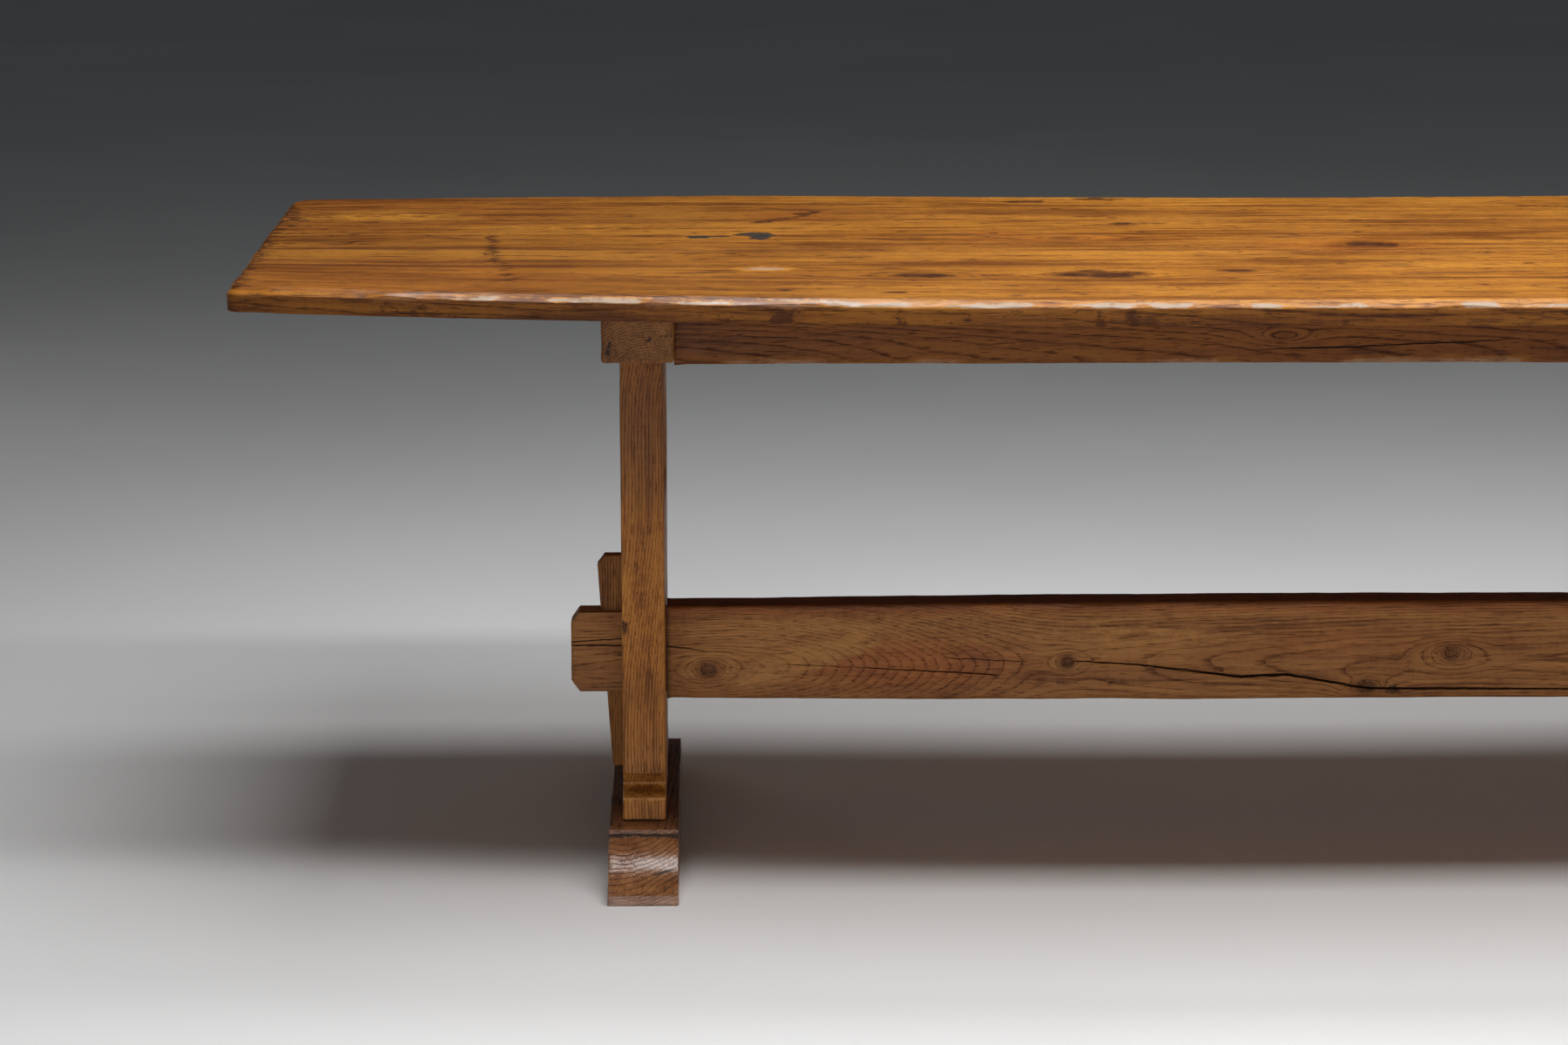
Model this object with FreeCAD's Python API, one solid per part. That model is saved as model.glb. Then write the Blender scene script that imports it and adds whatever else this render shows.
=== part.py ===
import FreeCAD, Part
import math
import os

# Oak trestle dining table. Millimetres, +Z up, +X along the table.
# Two trestles (foot, pierced plank upright, bearer) are tied by one low stretcher,
# whose through tenons are locked outside the uprights by loose tapered wedges.
# Everything is drawn about the trestles' centre plane, y = 0, and moved at export,
# so that the origin is the middle of the table's footprint on the floor.

V = FreeCAD.Vector

# Whole table
table_length = 2612.0
table_height = 750.0
trestle_spacing = 1672.0

# Fits
wood_gap = 0.3          # running gap round a tenon or a wedge
pin_gap = 0.1           # radial gap round a dowel, a peg or a screw
overcut = 1.0           # how far a cut runs past the face it opens
touch = 0.01            # how close an edge must be to a face to count as on it

# Top: three boards with a chamfered upper edge
top_thickness = 30.0
top_chamfer_run = 10.0
top_chamfer_drop = 8.5
front_corner_radius = 18.0
rear_corner_radius = 45.0
rear_seam = 191.0
front_seam_at_left_end = -56.0
front_seam_at_right_end = -115.0

# Lower edge of the top: reach from the centre plane at shares of the half length
front_reach_middle = 477.0
front_reach_shoulder = 475.0
front_reach_trestle = 434.0
front_reach_outer = 398.0
front_reach_end = 355.0
rear_reach_middle = 413.0
rear_reach_inner = 423.0
rear_reach_swell = 444.0
rear_reach_outer = 430.0
rear_reach_end = 418.0
share_shoulder = 0.33
share_trestle = 0.64
share_outer = 0.83
share_inner = 0.27
share_swell = 0.52

# Dowels across the board seams
dowel_diameter = 10.0
dowel_length = 60.0
dowels_per_seam = 9
dowel_end_margin = 110.0

# Bearer: the cross piece under the top
bearer_width = 84.0
bearer_height = 53.0
bearer_length = 806.0
bearer_arris = 5.0

# Screws that hold the top down on the bearers
screw_rows = (-320.0, -215.0, 30.0, 235.0, 320.0)
screw_head_diameter = 11.0
screw_head_height = 4.0
screw_crown_diameter = 6.6
screw_shank_diameter = 5.5
screw_length = 48.0
screw_bite = 18.0
screw_taper = 9.0
screw_point_radius = 0.5
screw_bore_diameter = 14.0
screw_slot_width = 1.4
screw_slot_depth = 1.2

# Rails under the long edges of the top
rail_height = 60.0
rail_thickness = 32.0
rail_setback = 28.0
rail_arris = 4.0
rail_tenon_length = 30.0
rail_tenon_height = 16.0
rail_tenon_width = 24.0
rail_tenon_drop = 26.0
rail_peg_diameter = 8.0

# Upright: a wide shaped plank
upright_thickness = 53.0
base_half = 177.0
base_batter = 2.0
base_height = 29.0
cove_height = 17.0
cove_lip = 3.0
cove_sag = 6.5
waist_half = 137.0
waist_length = 128.0
chest_half = 165.0
chest_rise = 336.0
chest_end_drop = 52.0
head_half = 175.0
head_drop = 30.0
neck_half = 168.0
neck_height = 8.0
crown_sag = 2.3

# Arched opening in the upright
arch_half = 105.0
arch_sill_height = 440.0
arch_cheek = 30.0
arch_corner_radius = 14.0

# Stub tenons of the upright into bearer and foot, held by draw pegs
stub_length = 80.0
stub_thickness = 20.0
stub_height = 36.0
stub_offset = 95.0
stub_end_gap = 1.0
draw_peg_diameter = 10.0

# Foot: a sledge with a moulded toe at each end
foot_width = 85.0
foot_height = 66.0
foot_length = 623.0
toe_plinth = 15.5
toe_run = 95.5
toe_quirk = 6.0

# Stretcher with its through tenons
stretcher_height = 239.0
stretcher_thickness = 52.0
stretcher_depth_end = 118.0
stretcher_depth_middle = 126.0
tenon_thickness = 40.0
tenon_depth = 102.0
tenon_stand = 66.0
tenon_chamfer_run = 11.0
tenon_chamfer_rise = 14.0
tenon_side_chamfer = 3.0

# Wedge that draws the stretcher tight
wedge_thickness = 20.0
wedge_width = 25.0
wedge_slope = 1.0 / 15.0
wedge_above = 70.0
wedge_below = 98.0
wedge_chamfer_run = 10.0
wedge_chamfer_rise = 12.0
wedge_inner_chamfer = 3.0
wedge_tip_chamfer = 3.0
wedge_pull = 4.0        # how far the wedge's mortise starts inside the upright

# Heights and places that follow
half_length = table_length / 2
trestle_x = trestle_spacing / 2
top_under = table_height - top_thickness
bearer_under = top_under - bearer_height
upright_outer_x = trestle_x + upright_thickness / 2
upright_inner_x = trestle_x - upright_thickness / 2
bearer_inner_x = trestle_x - bearer_width / 2
rail_face_reach = bearer_length / 2 - rail_setback
tenon_low = stretcher_height - tenon_depth / 2
tenon_high = stretcher_height + tenon_depth / 2


def box(x_low, x_high, y_low, y_high, z_low, z_high):
    """A box between two corners."""
    size = (x_high - x_low, y_high - y_low, z_high - z_low)
    return Part.makeBox(*size, V(x_low, y_low, z_low))


def both_ways(solids):
    """The given solids with their mirror images across y = 0."""
    return solids + [s.mirror(V(0, 0, 0), V(0, 1, 0)) for s in solids]


def at_other_end(shape):
    """The left end's piece, mirrored to the right end."""
    return shape.mirror(V(0, 0, 0), V(1, 0, 0))


def prism(edges, direction):
    """A solid with the closed outline of the edges, carried along a direction."""
    return Part.Face(Part.Wire(Part.__sortEdges__(edges))).extrude(direction)


def polygon(points):
    """Straight edges through the points, closed."""
    return [Part.makeLine(a, b) for a, b in zip(points, points[1:] + points[:1])]


def bowed(start, end, sag):
    """An arc from start to end that swells by the sag, to the right of the way up the page."""
    along = end - start
    across = V(0, along.z, -along.y).normalize()
    return Part.Arc(start, (start + end) / 2 + across * sag, end).toShape()


def spline(points):
    """A smooth edge through the points."""
    curve = Part.BSplineCurve()
    curve.interpolate(points)
    return curve.toShape()


# The top and its dowels

def edge_points(side, stations):
    """Points of a long edge of the top, the same on both sides of mid length."""
    far = [V(-share * half_length, side * reach, top_under) for share, reach in reversed(stations)]
    near = [V(share * half_length, side * reach, top_under) for share, reach in stations[1:]]
    return far + near


def front_edge():
    """Lower front edge of the top, bowed out at mid length."""
    stations = [(0.0, front_reach_middle), (share_shoulder, front_reach_shoulder),
                (share_trestle, front_reach_trestle), (share_outer, front_reach_outer),
                (1.0, front_reach_end)]
    return spline(edge_points(-1, stations))


def rear_edge():
    """Lower rear edge of the top, nearly straight, with a swell over each trestle."""
    stations = [(0.0, rear_reach_middle), (share_inner, rear_reach_inner),
                (share_swell, rear_reach_swell), (share_outer, rear_reach_outer),
                (1.0, rear_reach_end)]
    return spline(edge_points(1, stations))


def upright_edges(slab):
    """The straight upright edges at the four corners of the top's outline that are still sharp."""
    return [e for e in slab.Edges if abs(e.BoundBox.ZLength - top_thickness) < touch
            and e.BoundBox.XLength < touch and abs(abs(e.BoundBox.XMin) - half_length) < touch]


def top_slab():
    """The whole top: rounded corners in plan, chamfered along its upper edge."""
    front = front_edge()
    rear = rear_edge()
    ends = [Part.makeLine(V(x, -front_reach_end, top_under), V(x, rear_reach_end, top_under))
            for x in (-half_length, half_length)]
    slab = prism([front, rear] + ends, V(0, 0, top_thickness))
    for radius, side in ((front_corner_radius, -1), (rear_corner_radius, 1)):
        slab = slab.makeFillet(radius, [e for e in upright_edges(slab) if e.BoundBox.YMin * side > 0])
    rim = [e for e in slab.Edges if e.BoundBox.ZMin > table_height - touch]
    return slab.makeChamfer(top_chamfer_drop, top_chamfer_run, rim)


def seam_cutter(left_y, right_y, toward):
    """A block on one side of a seam plane that runs the length of the top."""
    reach = toward * table_length
    ends = half_length + overcut
    slope = (right_y - left_y) / table_length * overcut
    points = [V(-ends, left_y - slope, 0), V(ends, right_y + slope, 0),
              V(ends, right_y + reach, 0), V(-ends, left_y + reach, 0)]
    return prism(polygon(points), V(0, 0, table_height + overcut))


def front_seam_y(x):
    """Where the front seam lies at x."""
    share = (x + half_length) / table_length
    return front_seam_at_left_end + share * (front_seam_at_right_end - front_seam_at_left_end)


def dowel_places():
    """Middle point of every dowel, on the two seams at half the top's thickness."""
    span = table_length - 2 * dowel_end_margin
    xs = [-span / 2 + i * span / (dowels_per_seam - 1) for i in range(dowels_per_seam)]
    z = top_under + top_thickness / 2
    return [V(x, rear_seam, z) for x in xs] + [V(x, front_seam_y(x), z) for x in xs]


def dowel(place, radius, length):
    """A cylinder across a seam, centred on the place."""
    start = V(place.x, place.y - length / 2, place.z)
    return Part.makeCylinder(radius, length, start, V(0, 1, 0))


def board_dowels():
    """The dowels, their ends a little short of the holes."""
    return [dowel(p, dowel_diameter / 2, dowel_length) for p in dowel_places()]


def screw_tip_z():
    """Height of the screws' points, inside the top."""
    return top_under + screw_bite


def screw_hole(x, y):
    """Clearance for one screw: counterbore in the bearer, then shank and pilot hole."""
    shank = Part.makeCylinder(screw_shank_diameter / 2 + pin_gap, screw_length + pin_gap,
                              V(x, y, screw_tip_z() - screw_length))
    seat = screw_tip_z() - screw_length + screw_head_height + pin_gap
    bore = Part.makeCylinder(screw_bore_diameter / 2, seat - bearer_under + overcut,
                             V(x, y, bearer_under - overcut))
    return shank.fuse(bore)


def screw(x, y):
    """Round-head wood screw, driven upwards, with a plain slot."""
    low = screw_tip_z() - screw_length
    head = Part.makeCone(screw_crown_diameter / 2, screw_head_diameter / 2, screw_head_height,
                         V(x, y, low))
    shank = Part.makeCylinder(screw_shank_diameter / 2, screw_length - screw_head_height - screw_taper,
                              V(x, y, low + screw_head_height))
    tip = Part.makeCone(screw_shank_diameter / 2, screw_point_radius, screw_taper,
                        V(x, y, screw_tip_z() - screw_taper))
    slot = box(x - screw_head_diameter, x + screw_head_diameter, y - screw_slot_width / 2,
               y + screw_slot_width / 2, low - overcut, low + screw_slot_depth)
    return head.fuse([shank, tip]).removeSplitter().cut(slot)


def top_boards():
    """Front, middle and rear board, cut from one slab and bored for dowels and screws."""
    slab = top_slab()
    rear_side = seam_cutter(rear_seam, rear_seam, 1)
    front_side = seam_cutter(front_seam_at_left_end, front_seam_at_right_end, -1)
    hole_length = dowel_length + 2 * pin_gap
    holes = [dowel(p, dowel_diameter / 2 + pin_gap, hole_length) for p in dowel_places()]
    holes += [screw_hole(x, y) for x in (-trestle_x, trestle_x) for y in screw_rows]
    bored = slab.cut(holes)
    rear = bored.common(rear_side)
    front = bored.common(front_side)
    middle = bored.cut([rear_side, front_side])
    return front, middle, rear


# The bearers and the rails

def stub(z_low, z_high, gap):
    """Two stub tenons of the left upright, or their mortises with a gap all round."""
    return both_ways([box(-trestle_x - stub_thickness / 2 - gap, -trestle_x + stub_thickness / 2 + gap,
                          stub_offset - stub_length / 2 - gap, stub_offset + stub_length / 2 + gap,
                          z_low, z_high)])


def cross_pegs(z, width, radius):
    """Pegs along x through the stub tenons, flush with a member of the given width."""
    start = -trestle_x - width / 2
    return [Part.makeCylinder(radius, width, V(start, y, z), V(1, 0, 0))
            for y in (-stub_offset, stub_offset)]


def bearer_peg_z():
    """Height of the pegs through the bearer."""
    return bearer_under + stub_height / 2


def foot_peg_z():
    """Height of the pegs through the foot."""
    return foot_height - stub_height / 2


def rail_tenon(side, gap):
    """Stub tenon at the left end of a rail, or its mortise with a gap all round."""
    middle_y = side * (rail_face_reach - rail_thickness / 2)
    high = top_under - rail_tenon_drop + rail_tenon_height / 2
    return box(-bearer_inner_x - rail_tenon_length - gap, -bearer_inner_x + gap,
               middle_y - rail_tenon_width / 2 - gap, middle_y + rail_tenon_width / 2 + gap,
               high - rail_tenon_height - gap, high + gap)


def rail_peg(side, radius, x_sign):
    """Upright peg from the bearer's underside through a rail's tenon."""
    middle_y = side * (rail_face_reach - rail_thickness / 2)
    x = x_sign * (bearer_inner_x + rail_tenon_length / 2)
    rise = bearer_height - rail_tenon_drop + rail_tenon_height
    return Part.makeCylinder(radius, rise, V(x, middle_y, bearer_under))


def rail_pegs():
    """The four pegs of the rails."""
    return [rail_peg(side, rail_peg_diameter / 2, x_sign) for side in (-1, 1) for x_sign in (-1, 1)]


def left_bearer():
    """Bearer with rounded lower arrises and ends, mortised for upright and rails."""
    half = bearer_length / 2
    blank = box(-trestle_x - bearer_width / 2, -trestle_x + bearer_width / 2, -half, half,
                bearer_under, top_under)
    worn = [e for e in blank.Edges if e.BoundBox.ZMin < top_under - touch]
    blank = blank.makeFillet(bearer_arris, worn)
    cuts = stub(bearer_under - overcut, bearer_under + stub_height + stub_end_gap, wood_gap)
    cuts += cross_pegs(bearer_peg_z(), bearer_width + 2 * overcut, draw_peg_diameter / 2 + pin_gap)
    cuts += [rail_tenon(side, wood_gap) for side in (-1, 1)]
    cuts += [rail_peg(side, rail_peg_diameter / 2 + pin_gap, -1) for side in (-1, 1)]
    cuts += [screw_hole(-trestle_x, y) for y in screw_rows]
    return blank.cut(cuts)


def rail(side):
    """Rail between the bearers, tenoned into both, with worn lower arrises."""
    faces = sorted((side * rail_face_reach, side * (rail_face_reach - rail_thickness)))
    body = box(-bearer_inner_x, bearer_inner_x, faces[0], faces[1], top_under - rail_height, top_under)
    worn = [e for e in body.Edges
            if e.BoundBox.ZMax < top_under - rail_height + touch and e.BoundBox.XLength > rail_thickness]
    body = body.makeFillet(rail_arris, worn)
    left = rail_tenon(side, 0)
    holes = [rail_peg(side, rail_peg_diameter / 2 + pin_gap, x_sign) for x_sign in (-1, 1)]
    return body.fuse([left, at_other_end(left)]).removeSplitter().cut(holes)


# The uprights

def upright_side(side):
    """Edges of one long side of the upright, from the foot up to the bearer."""
    x = -trestle_x - upright_thickness / 2
    base_top = foot_height + base_height
    cove_top = base_top + cove_height
    shaft_low = cove_top + cove_lip
    head = bearer_under - head_drop

    def point(half, z):
        return V(x, side * half, z)

    base_arris = point(base_half - base_batter, base_top)
    cove_arris = point(waist_half + cove_lip, cove_top)
    base_face = Part.makeLine(point(base_half, foot_height), base_arris)
    cove = bowed(base_arris, cove_arris, -side * cove_sag)
    lip = Part.makeLine(cove_arris, point(waist_half, shaft_low))
    shaft = spline([point(waist_half, shaft_low), point(waist_half, shaft_low + waist_length),
                    point(chest_half, shaft_low + chest_rise), point(chest_half, head - chest_end_drop),
                    point(head_half, head)])
    neck_arris = point(neck_half, bearer_under - neck_height)
    crown = bowed(point(head_half, head), neck_arris, side * crown_sag)
    neck = Part.makeLine(neck_arris, point(neck_half, bearer_under))
    return [base_face, cove, lip, shaft, crown, neck]


def arch_cutter():
    """The arched opening: flat sill with rounded corners, straight cheeks, round head."""
    x = -trestle_x - upright_thickness
    sill = arch_sill_height
    spring = sill + arch_cheek
    r = arch_corner_radius
    bite = r * (1 - math.sqrt(0.5))
    head = Part.Arc(V(x, -arch_half, spring), V(x, 0, spring + arch_half), V(x, arch_half, spring))
    edges = [head.toShape(), Part.makeLine(V(x, -arch_half + r, sill), V(x, arch_half - r, sill))]
    for side in (-1, 1):
        low = V(x, side * (arch_half - r), sill)
        mid = V(x, side * (arch_half - bite), sill + bite)
        high = V(x, side * arch_half, sill + r)
        edges.append(Part.Arc(low, mid, high).toShape())
        edges.append(Part.makeLine(high, V(x, side * arch_half, spring)))
    return prism(edges, V(2 * upright_thickness, 0, 0))


def tenon_block(gap):
    """The stretcher's tenon where it passes the left upright, with a gap all round."""
    half = tenon_thickness / 2 + gap
    return box(-upright_outer_x - tenon_stand, -upright_inner_x + overcut, -half, half,
               tenon_low - gap, tenon_high + gap)


def left_upright():
    """Shaped plank with its arch, the through mortise and four stub tenons."""
    x = -trestle_x - upright_thickness / 2
    closing = [Part.makeLine(V(x, -base_half, foot_height), V(x, base_half, foot_height)),
               Part.makeLine(V(x, -neck_half, bearer_under), V(x, neck_half, bearer_under))]
    plank = prism(upright_side(-1) + upright_side(1) + closing, V(upright_thickness, 0, 0))
    stubs = stub(bearer_under - overcut, bearer_under + stub_height, 0)
    stubs += stub(foot_height - stub_height, foot_height + overcut, 0)
    plank = plank.fuse(stubs).removeSplitter()
    cuts = [arch_cutter(), tenon_block(wood_gap)]
    cuts += cross_pegs(bearer_peg_z(), bearer_width, draw_peg_diameter / 2 + pin_gap)
    cuts += cross_pegs(foot_peg_z(), foot_width, draw_peg_diameter / 2 + pin_gap)
    return plank.cut(cuts)


# The feet

def toe_edges(side):
    """Plinth, ogee and quirk of one end of the foot, from the floor to the flat top."""
    x = -trestle_x - foot_width / 2
    half = foot_length / 2
    rise = foot_height - toe_quirk - toe_plinth
    radius = (toe_run ** 2 + rise ** 2) / (4 * rise)
    turn = 2 * math.atan(rise / toe_run)
    sweep = radius * math.sin(turn / 2)
    sag = radius * (1 - math.cos(turn / 2))

    def point(reach, z):
        return V(x, side * reach, z)

    bend = point(half - toe_run / 2, toe_plinth + rise / 2)
    hollow = Part.Arc(point(half, toe_plinth), point(half - sweep, toe_plinth + sag), bend)
    top_of_ogee = foot_height - toe_quirk
    swell = Part.Arc(bend, point(half - toe_run + sweep, top_of_ogee - sag),
                     point(half - toe_run, top_of_ogee))
    return [Part.makeLine(point(half, 0), point(half, toe_plinth)), hollow.toShape(), swell.toShape(),
            Part.makeLine(point(half - toe_run, top_of_ogee), point(half - toe_run, foot_height))]


def left_foot():
    """Sledge foot, mortised for the upright's lower tenons."""
    x = -trestle_x - foot_width / 2
    half = foot_length / 2
    flat = half - toe_run
    closing = [Part.makeLine(V(x, -half, 0), V(x, half, 0)),
               Part.makeLine(V(x, -flat, foot_height), V(x, flat, foot_height))]
    body = prism(toe_edges(-1) + toe_edges(1) + closing, V(foot_width, 0, 0))
    cuts = stub(foot_height - stub_height - stub_end_gap, foot_height + overcut, wood_gap)
    cuts += cross_pegs(foot_peg_z(), foot_width + 2 * overcut, draw_peg_diameter / 2 + pin_gap)
    return body.cut(cuts)


# The stretcher and the wedges

def wedge_outer_x(z):
    """Outer face of the left wedge at a height: it leans out towards the top."""
    return -upright_outer_x - wood_gap - wedge_width - wedge_slope * (z - stretcher_height)


def wedge_mortise():
    """Tapered mortise through the left tenon, its outer wall parallel to the wedge."""
    low = tenon_low - overcut
    high = tenon_high + overcut
    inner = -upright_outer_x + wedge_pull
    half = wedge_thickness / 2 + wood_gap
    points = [V(inner, -half, low), V(inner, -half, high),
              V(wedge_outer_x(high) - wood_gap, -half, high),
              V(wedge_outer_x(low) - wood_gap, -half, low)]
    return prism(polygon(points), V(0, 2 * half, 0))


def left_tenon():
    """Through tenon with its end chamfered above, below and at the sides."""
    inner = -upright_inner_x
    outer = -upright_outer_x - tenon_stand
    half = tenon_thickness / 2
    run = tenon_chamfer_run
    rise = tenon_chamfer_rise
    side_view = [V(inner, -half, tenon_low), V(outer + run, -half, tenon_low),
                 V(outer, -half, tenon_low + rise), V(outer, -half, tenon_high - rise),
                 V(outer + run, -half, tenon_high), V(inner, -half, tenon_high)]
    cut = tenon_side_chamfer
    plan = [V(inner, -half, tenon_low), V(outer + cut, -half, tenon_low), V(outer, -half + cut, tenon_low),
            V(outer, half - cut, tenon_low), V(outer + cut, half, tenon_low), V(inner, half, tenon_low)]
    tenon = prism(polygon(side_view), V(0, tenon_thickness, 0))
    tenon = tenon.common(prism(polygon(plan), V(0, 0, tenon_depth)))
    return tenon.cut(wedge_mortise())


def stretcher():
    """Stretcher, a little deeper at mid length, with a tenon at each end."""
    half = stretcher_thickness / 2
    x = upright_inner_x
    end = stretcher_depth_end / 2
    middle = stretcher_depth_middle / 2

    def point(along, above):
        return V(along, -half, stretcher_height + above)

    edges = [Part.Arc(point(-x, end), point(0, middle), point(x, end)).toShape(),
             Part.Arc(point(-x, -end), point(0, -middle), point(x, -end)).toShape(),
             Part.makeLine(point(-x, -end), point(-x, end)), Part.makeLine(point(x, -end), point(x, end))]
    body = prism(edges, V(0, stretcher_thickness, 0))
    tenon = left_tenon()
    return body.fuse([tenon, at_other_end(tenon)]).removeSplitter()


def left_wedge():
    """Wedge: upright inner face against the plank, leaning outer face with its top corner cut off."""
    low = tenon_low - wedge_below
    high = tenon_high + wedge_above
    inner = -upright_outer_x - wood_gap
    half = wedge_thickness / 2
    run = wedge_chamfer_run
    rise = wedge_chamfer_rise
    ease = wedge_inner_chamfer
    tip = wedge_tip_chamfer
    outline = [(inner - tip, low), (wedge_outer_x(low) + tip, low), (wedge_outer_x(low + tip), low + tip),
               (wedge_outer_x(high - rise), high - rise), (wedge_outer_x(high) + run, high),
               (inner - ease, high), (inner, high - ease), (inner, low + tip)]
    return prism(polygon([V(x, -half, z) for x, z in outline]), V(0, wedge_thickness, 0))


# Export

def centre_shift():
    """How far the trestles stand from the middle of the top's depth."""
    front = max(-p.y for p in front_edge().discretize(401))
    rear = max(p.y for p in rear_edge().discretize(401))
    return (front - rear) / 2


def left_and_right(name, shape, nodes):
    """Adds a left piece and its mirror image at the right end."""
    nodes["left_" + name] = shape
    nodes["right_" + name] = at_other_end(shape)


def all_nodes():
    """Every piece of the table under its node's name."""
    nodes = {}
    boards = top_boards()
    nodes["top_board_front"], nodes["top_board_middle"], nodes["top_board_rear"] = boards
    nodes["top_board_dowels"] = Part.makeCompound(board_dowels())
    nodes["front_rail"] = rail(-1)
    nodes["rear_rail"] = rail(1)
    nodes["rail_pegs"] = Part.makeCompound(rail_pegs())
    nodes["stretcher"] = stretcher()
    left_and_right("bearer", left_bearer(), nodes)
    left_and_right("bearer_screws", Part.makeCompound([screw(-trestle_x, y) for y in screw_rows]), nodes)
    bearer_pegs = cross_pegs(bearer_peg_z(), bearer_width, draw_peg_diameter / 2)
    left_and_right("bearer_pegs", Part.makeCompound(bearer_pegs), nodes)
    left_and_right("upright", left_upright(), nodes)
    foot_pegs = cross_pegs(foot_peg_z(), foot_width, draw_peg_diameter / 2)
    left_and_right("foot_pegs", Part.makeCompound(foot_pegs), nodes)
    left_and_right("foot", left_foot(), nodes)
    left_and_right("wedge", left_wedge(), nodes)
    return nodes


os.makedirs("parts", exist_ok=True)
shift = V(0, centre_shift(), 0)
for node, shape in all_nodes().items():
    shape.translate(shift)
    shape.exportStep("parts/" + node + ".step")
    box_of = shape.BoundBox
    print(node, "solids", len(shape.Solids), "valid", shape.isValid(), "volume", round(shape.Volume),
          "x %.1f..%.1f y %.1f..%.1f z %.1f..%.1f" % (box_of.XMin, box_of.XMax, box_of.YMin,
                                                     box_of.YMax, box_of.ZMin, box_of.ZMax))
print("trestle centre plane at y", round(shift.y, 3))
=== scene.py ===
"""Oak trestle dining table: the looks around its fixed frame.

Every board, bar, plank and wedge is a closed shell of quads worked out with numpy from the
frame's own outlines, then weathered: hewn chamfers, worn arrises, a split in the stretcher.
Each point carries where it lay in its log, so that one oak material grows rings, pores and
knots through all faces of a piece. Pegs, dowels and screws keep the frame's own shapes.
Metres, +Z up, +X along the table.
"""

import math
from functools import partial

import bpy
import numpy as np
from bpy.props import FloatProperty, FloatVectorProperty, PointerProperty
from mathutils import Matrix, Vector
from mathutils.bvhtree import BVHTree


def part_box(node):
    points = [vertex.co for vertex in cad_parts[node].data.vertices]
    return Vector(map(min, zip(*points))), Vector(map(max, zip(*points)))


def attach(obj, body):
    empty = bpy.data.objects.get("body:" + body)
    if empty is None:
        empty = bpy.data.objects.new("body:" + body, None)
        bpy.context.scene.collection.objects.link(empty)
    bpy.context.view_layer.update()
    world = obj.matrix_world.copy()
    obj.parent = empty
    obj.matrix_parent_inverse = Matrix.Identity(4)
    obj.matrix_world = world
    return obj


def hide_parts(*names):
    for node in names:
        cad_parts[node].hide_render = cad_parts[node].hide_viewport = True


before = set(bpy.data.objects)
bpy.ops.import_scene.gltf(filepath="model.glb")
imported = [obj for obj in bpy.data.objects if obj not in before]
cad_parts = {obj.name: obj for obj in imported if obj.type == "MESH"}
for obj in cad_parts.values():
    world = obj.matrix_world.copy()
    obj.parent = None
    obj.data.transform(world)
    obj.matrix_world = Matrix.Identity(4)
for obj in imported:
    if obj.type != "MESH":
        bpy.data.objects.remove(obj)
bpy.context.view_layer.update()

bl_info = {
    "name": "Oak trestle table",
    "version": (1, 0, 0),
    "blender": (4, 5, 0),
    "location": "View3D > Sidebar > Trestle",
    "description": "Builds the finished pieces of an oak trestle dining table",
    "category": "Add Mesh",
}

X, Y, Z = 0, 1, 2
HAIR = 0.00005                      # a step too small to see, for looking beside an edge
FAR = 9.0                           # further from a mark than any point of the table
SIDES = {"left": 4, "right": 5}     # the two trestles, and what sets their noise apart
TRESTLE_Y = sum(c[Y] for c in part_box("stretcher")) / 2      # the trestles' centre plane
TRESTLE_X = -sum(c[X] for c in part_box("left_upright")) / 2  # each trestle, either side of 0

# Greatest distance between rows of points along each kind of piece, and the least beside a corner
ROWS = {
    "top": (0.0054, 0.0), "bearer": (0.0062, 0.0), "upright": (0.0075, 0.0024),
    "foot": (0.006, 0.0022), "stretcher": (0.0062, 0.0022), "wedge": (0.006, 0.0018),
}


# ---------------------------------------------------------------- noise and marks

def hashed(cells, seed):
    """Whole numbers of a lattice corner and a seed stirred into one number from -1 to 1."""
    mixed = (cells[..., 0] * 73856093) ^ (cells[..., 1] * 19349663) ^ (cells[..., 2] * 83492791)
    mixed = (mixed ^ (seed * 2654435761)) & 0xFFFFFFFF
    mixed = ((mixed ^ (mixed >> 15)) * 2246822519) & 0xFFFFFFFF
    mixed = ((mixed ^ (mixed >> 13)) * 3266489917) & 0xFFFFFFFF
    return (mixed ^ (mixed >> 16)) / 2147483648.0 - 1.0


def rough(points, cell, seed):
    """Smooth noise from -1 to 1: the eight corners of each point's cell, blended by smoothstep."""
    place = points / np.asarray(cell, float)
    corner = np.floor(place).astype(np.int64)
    share = place - corner
    share = share * share * (3 - 2 * share)
    total = np.zeros(points.shape[:-1])
    for step in np.ndindex(2, 2, 2):
        weight = np.prod(np.where(step, share, 1 - share), axis=-1)
        total += weight * hashed(corner + np.array(step), seed)
    return total


def ease(low, high, value):
    """0 below low, 1 above high, and a smoothstep between them."""
    share = np.clip((value - low) / (high - low), 0, 1)
    return share * share * (3 - 2 * share)


def spot(plane, centre, reach, lean=0.0):
    """1 at the middle of an oval, 0 from its rim outwards: smoothstep of the oval's radius."""
    offset = plane - np.asarray(centre, float)
    turn = np.array([[math.cos(lean), -math.sin(lean)], [math.sin(lean), math.cos(lean)]])
    radius = np.linalg.norm(offset @ turn / np.asarray(reach, float), axis=-1)
    return 1 - ease(0.25, 1.0, radius)


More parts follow.
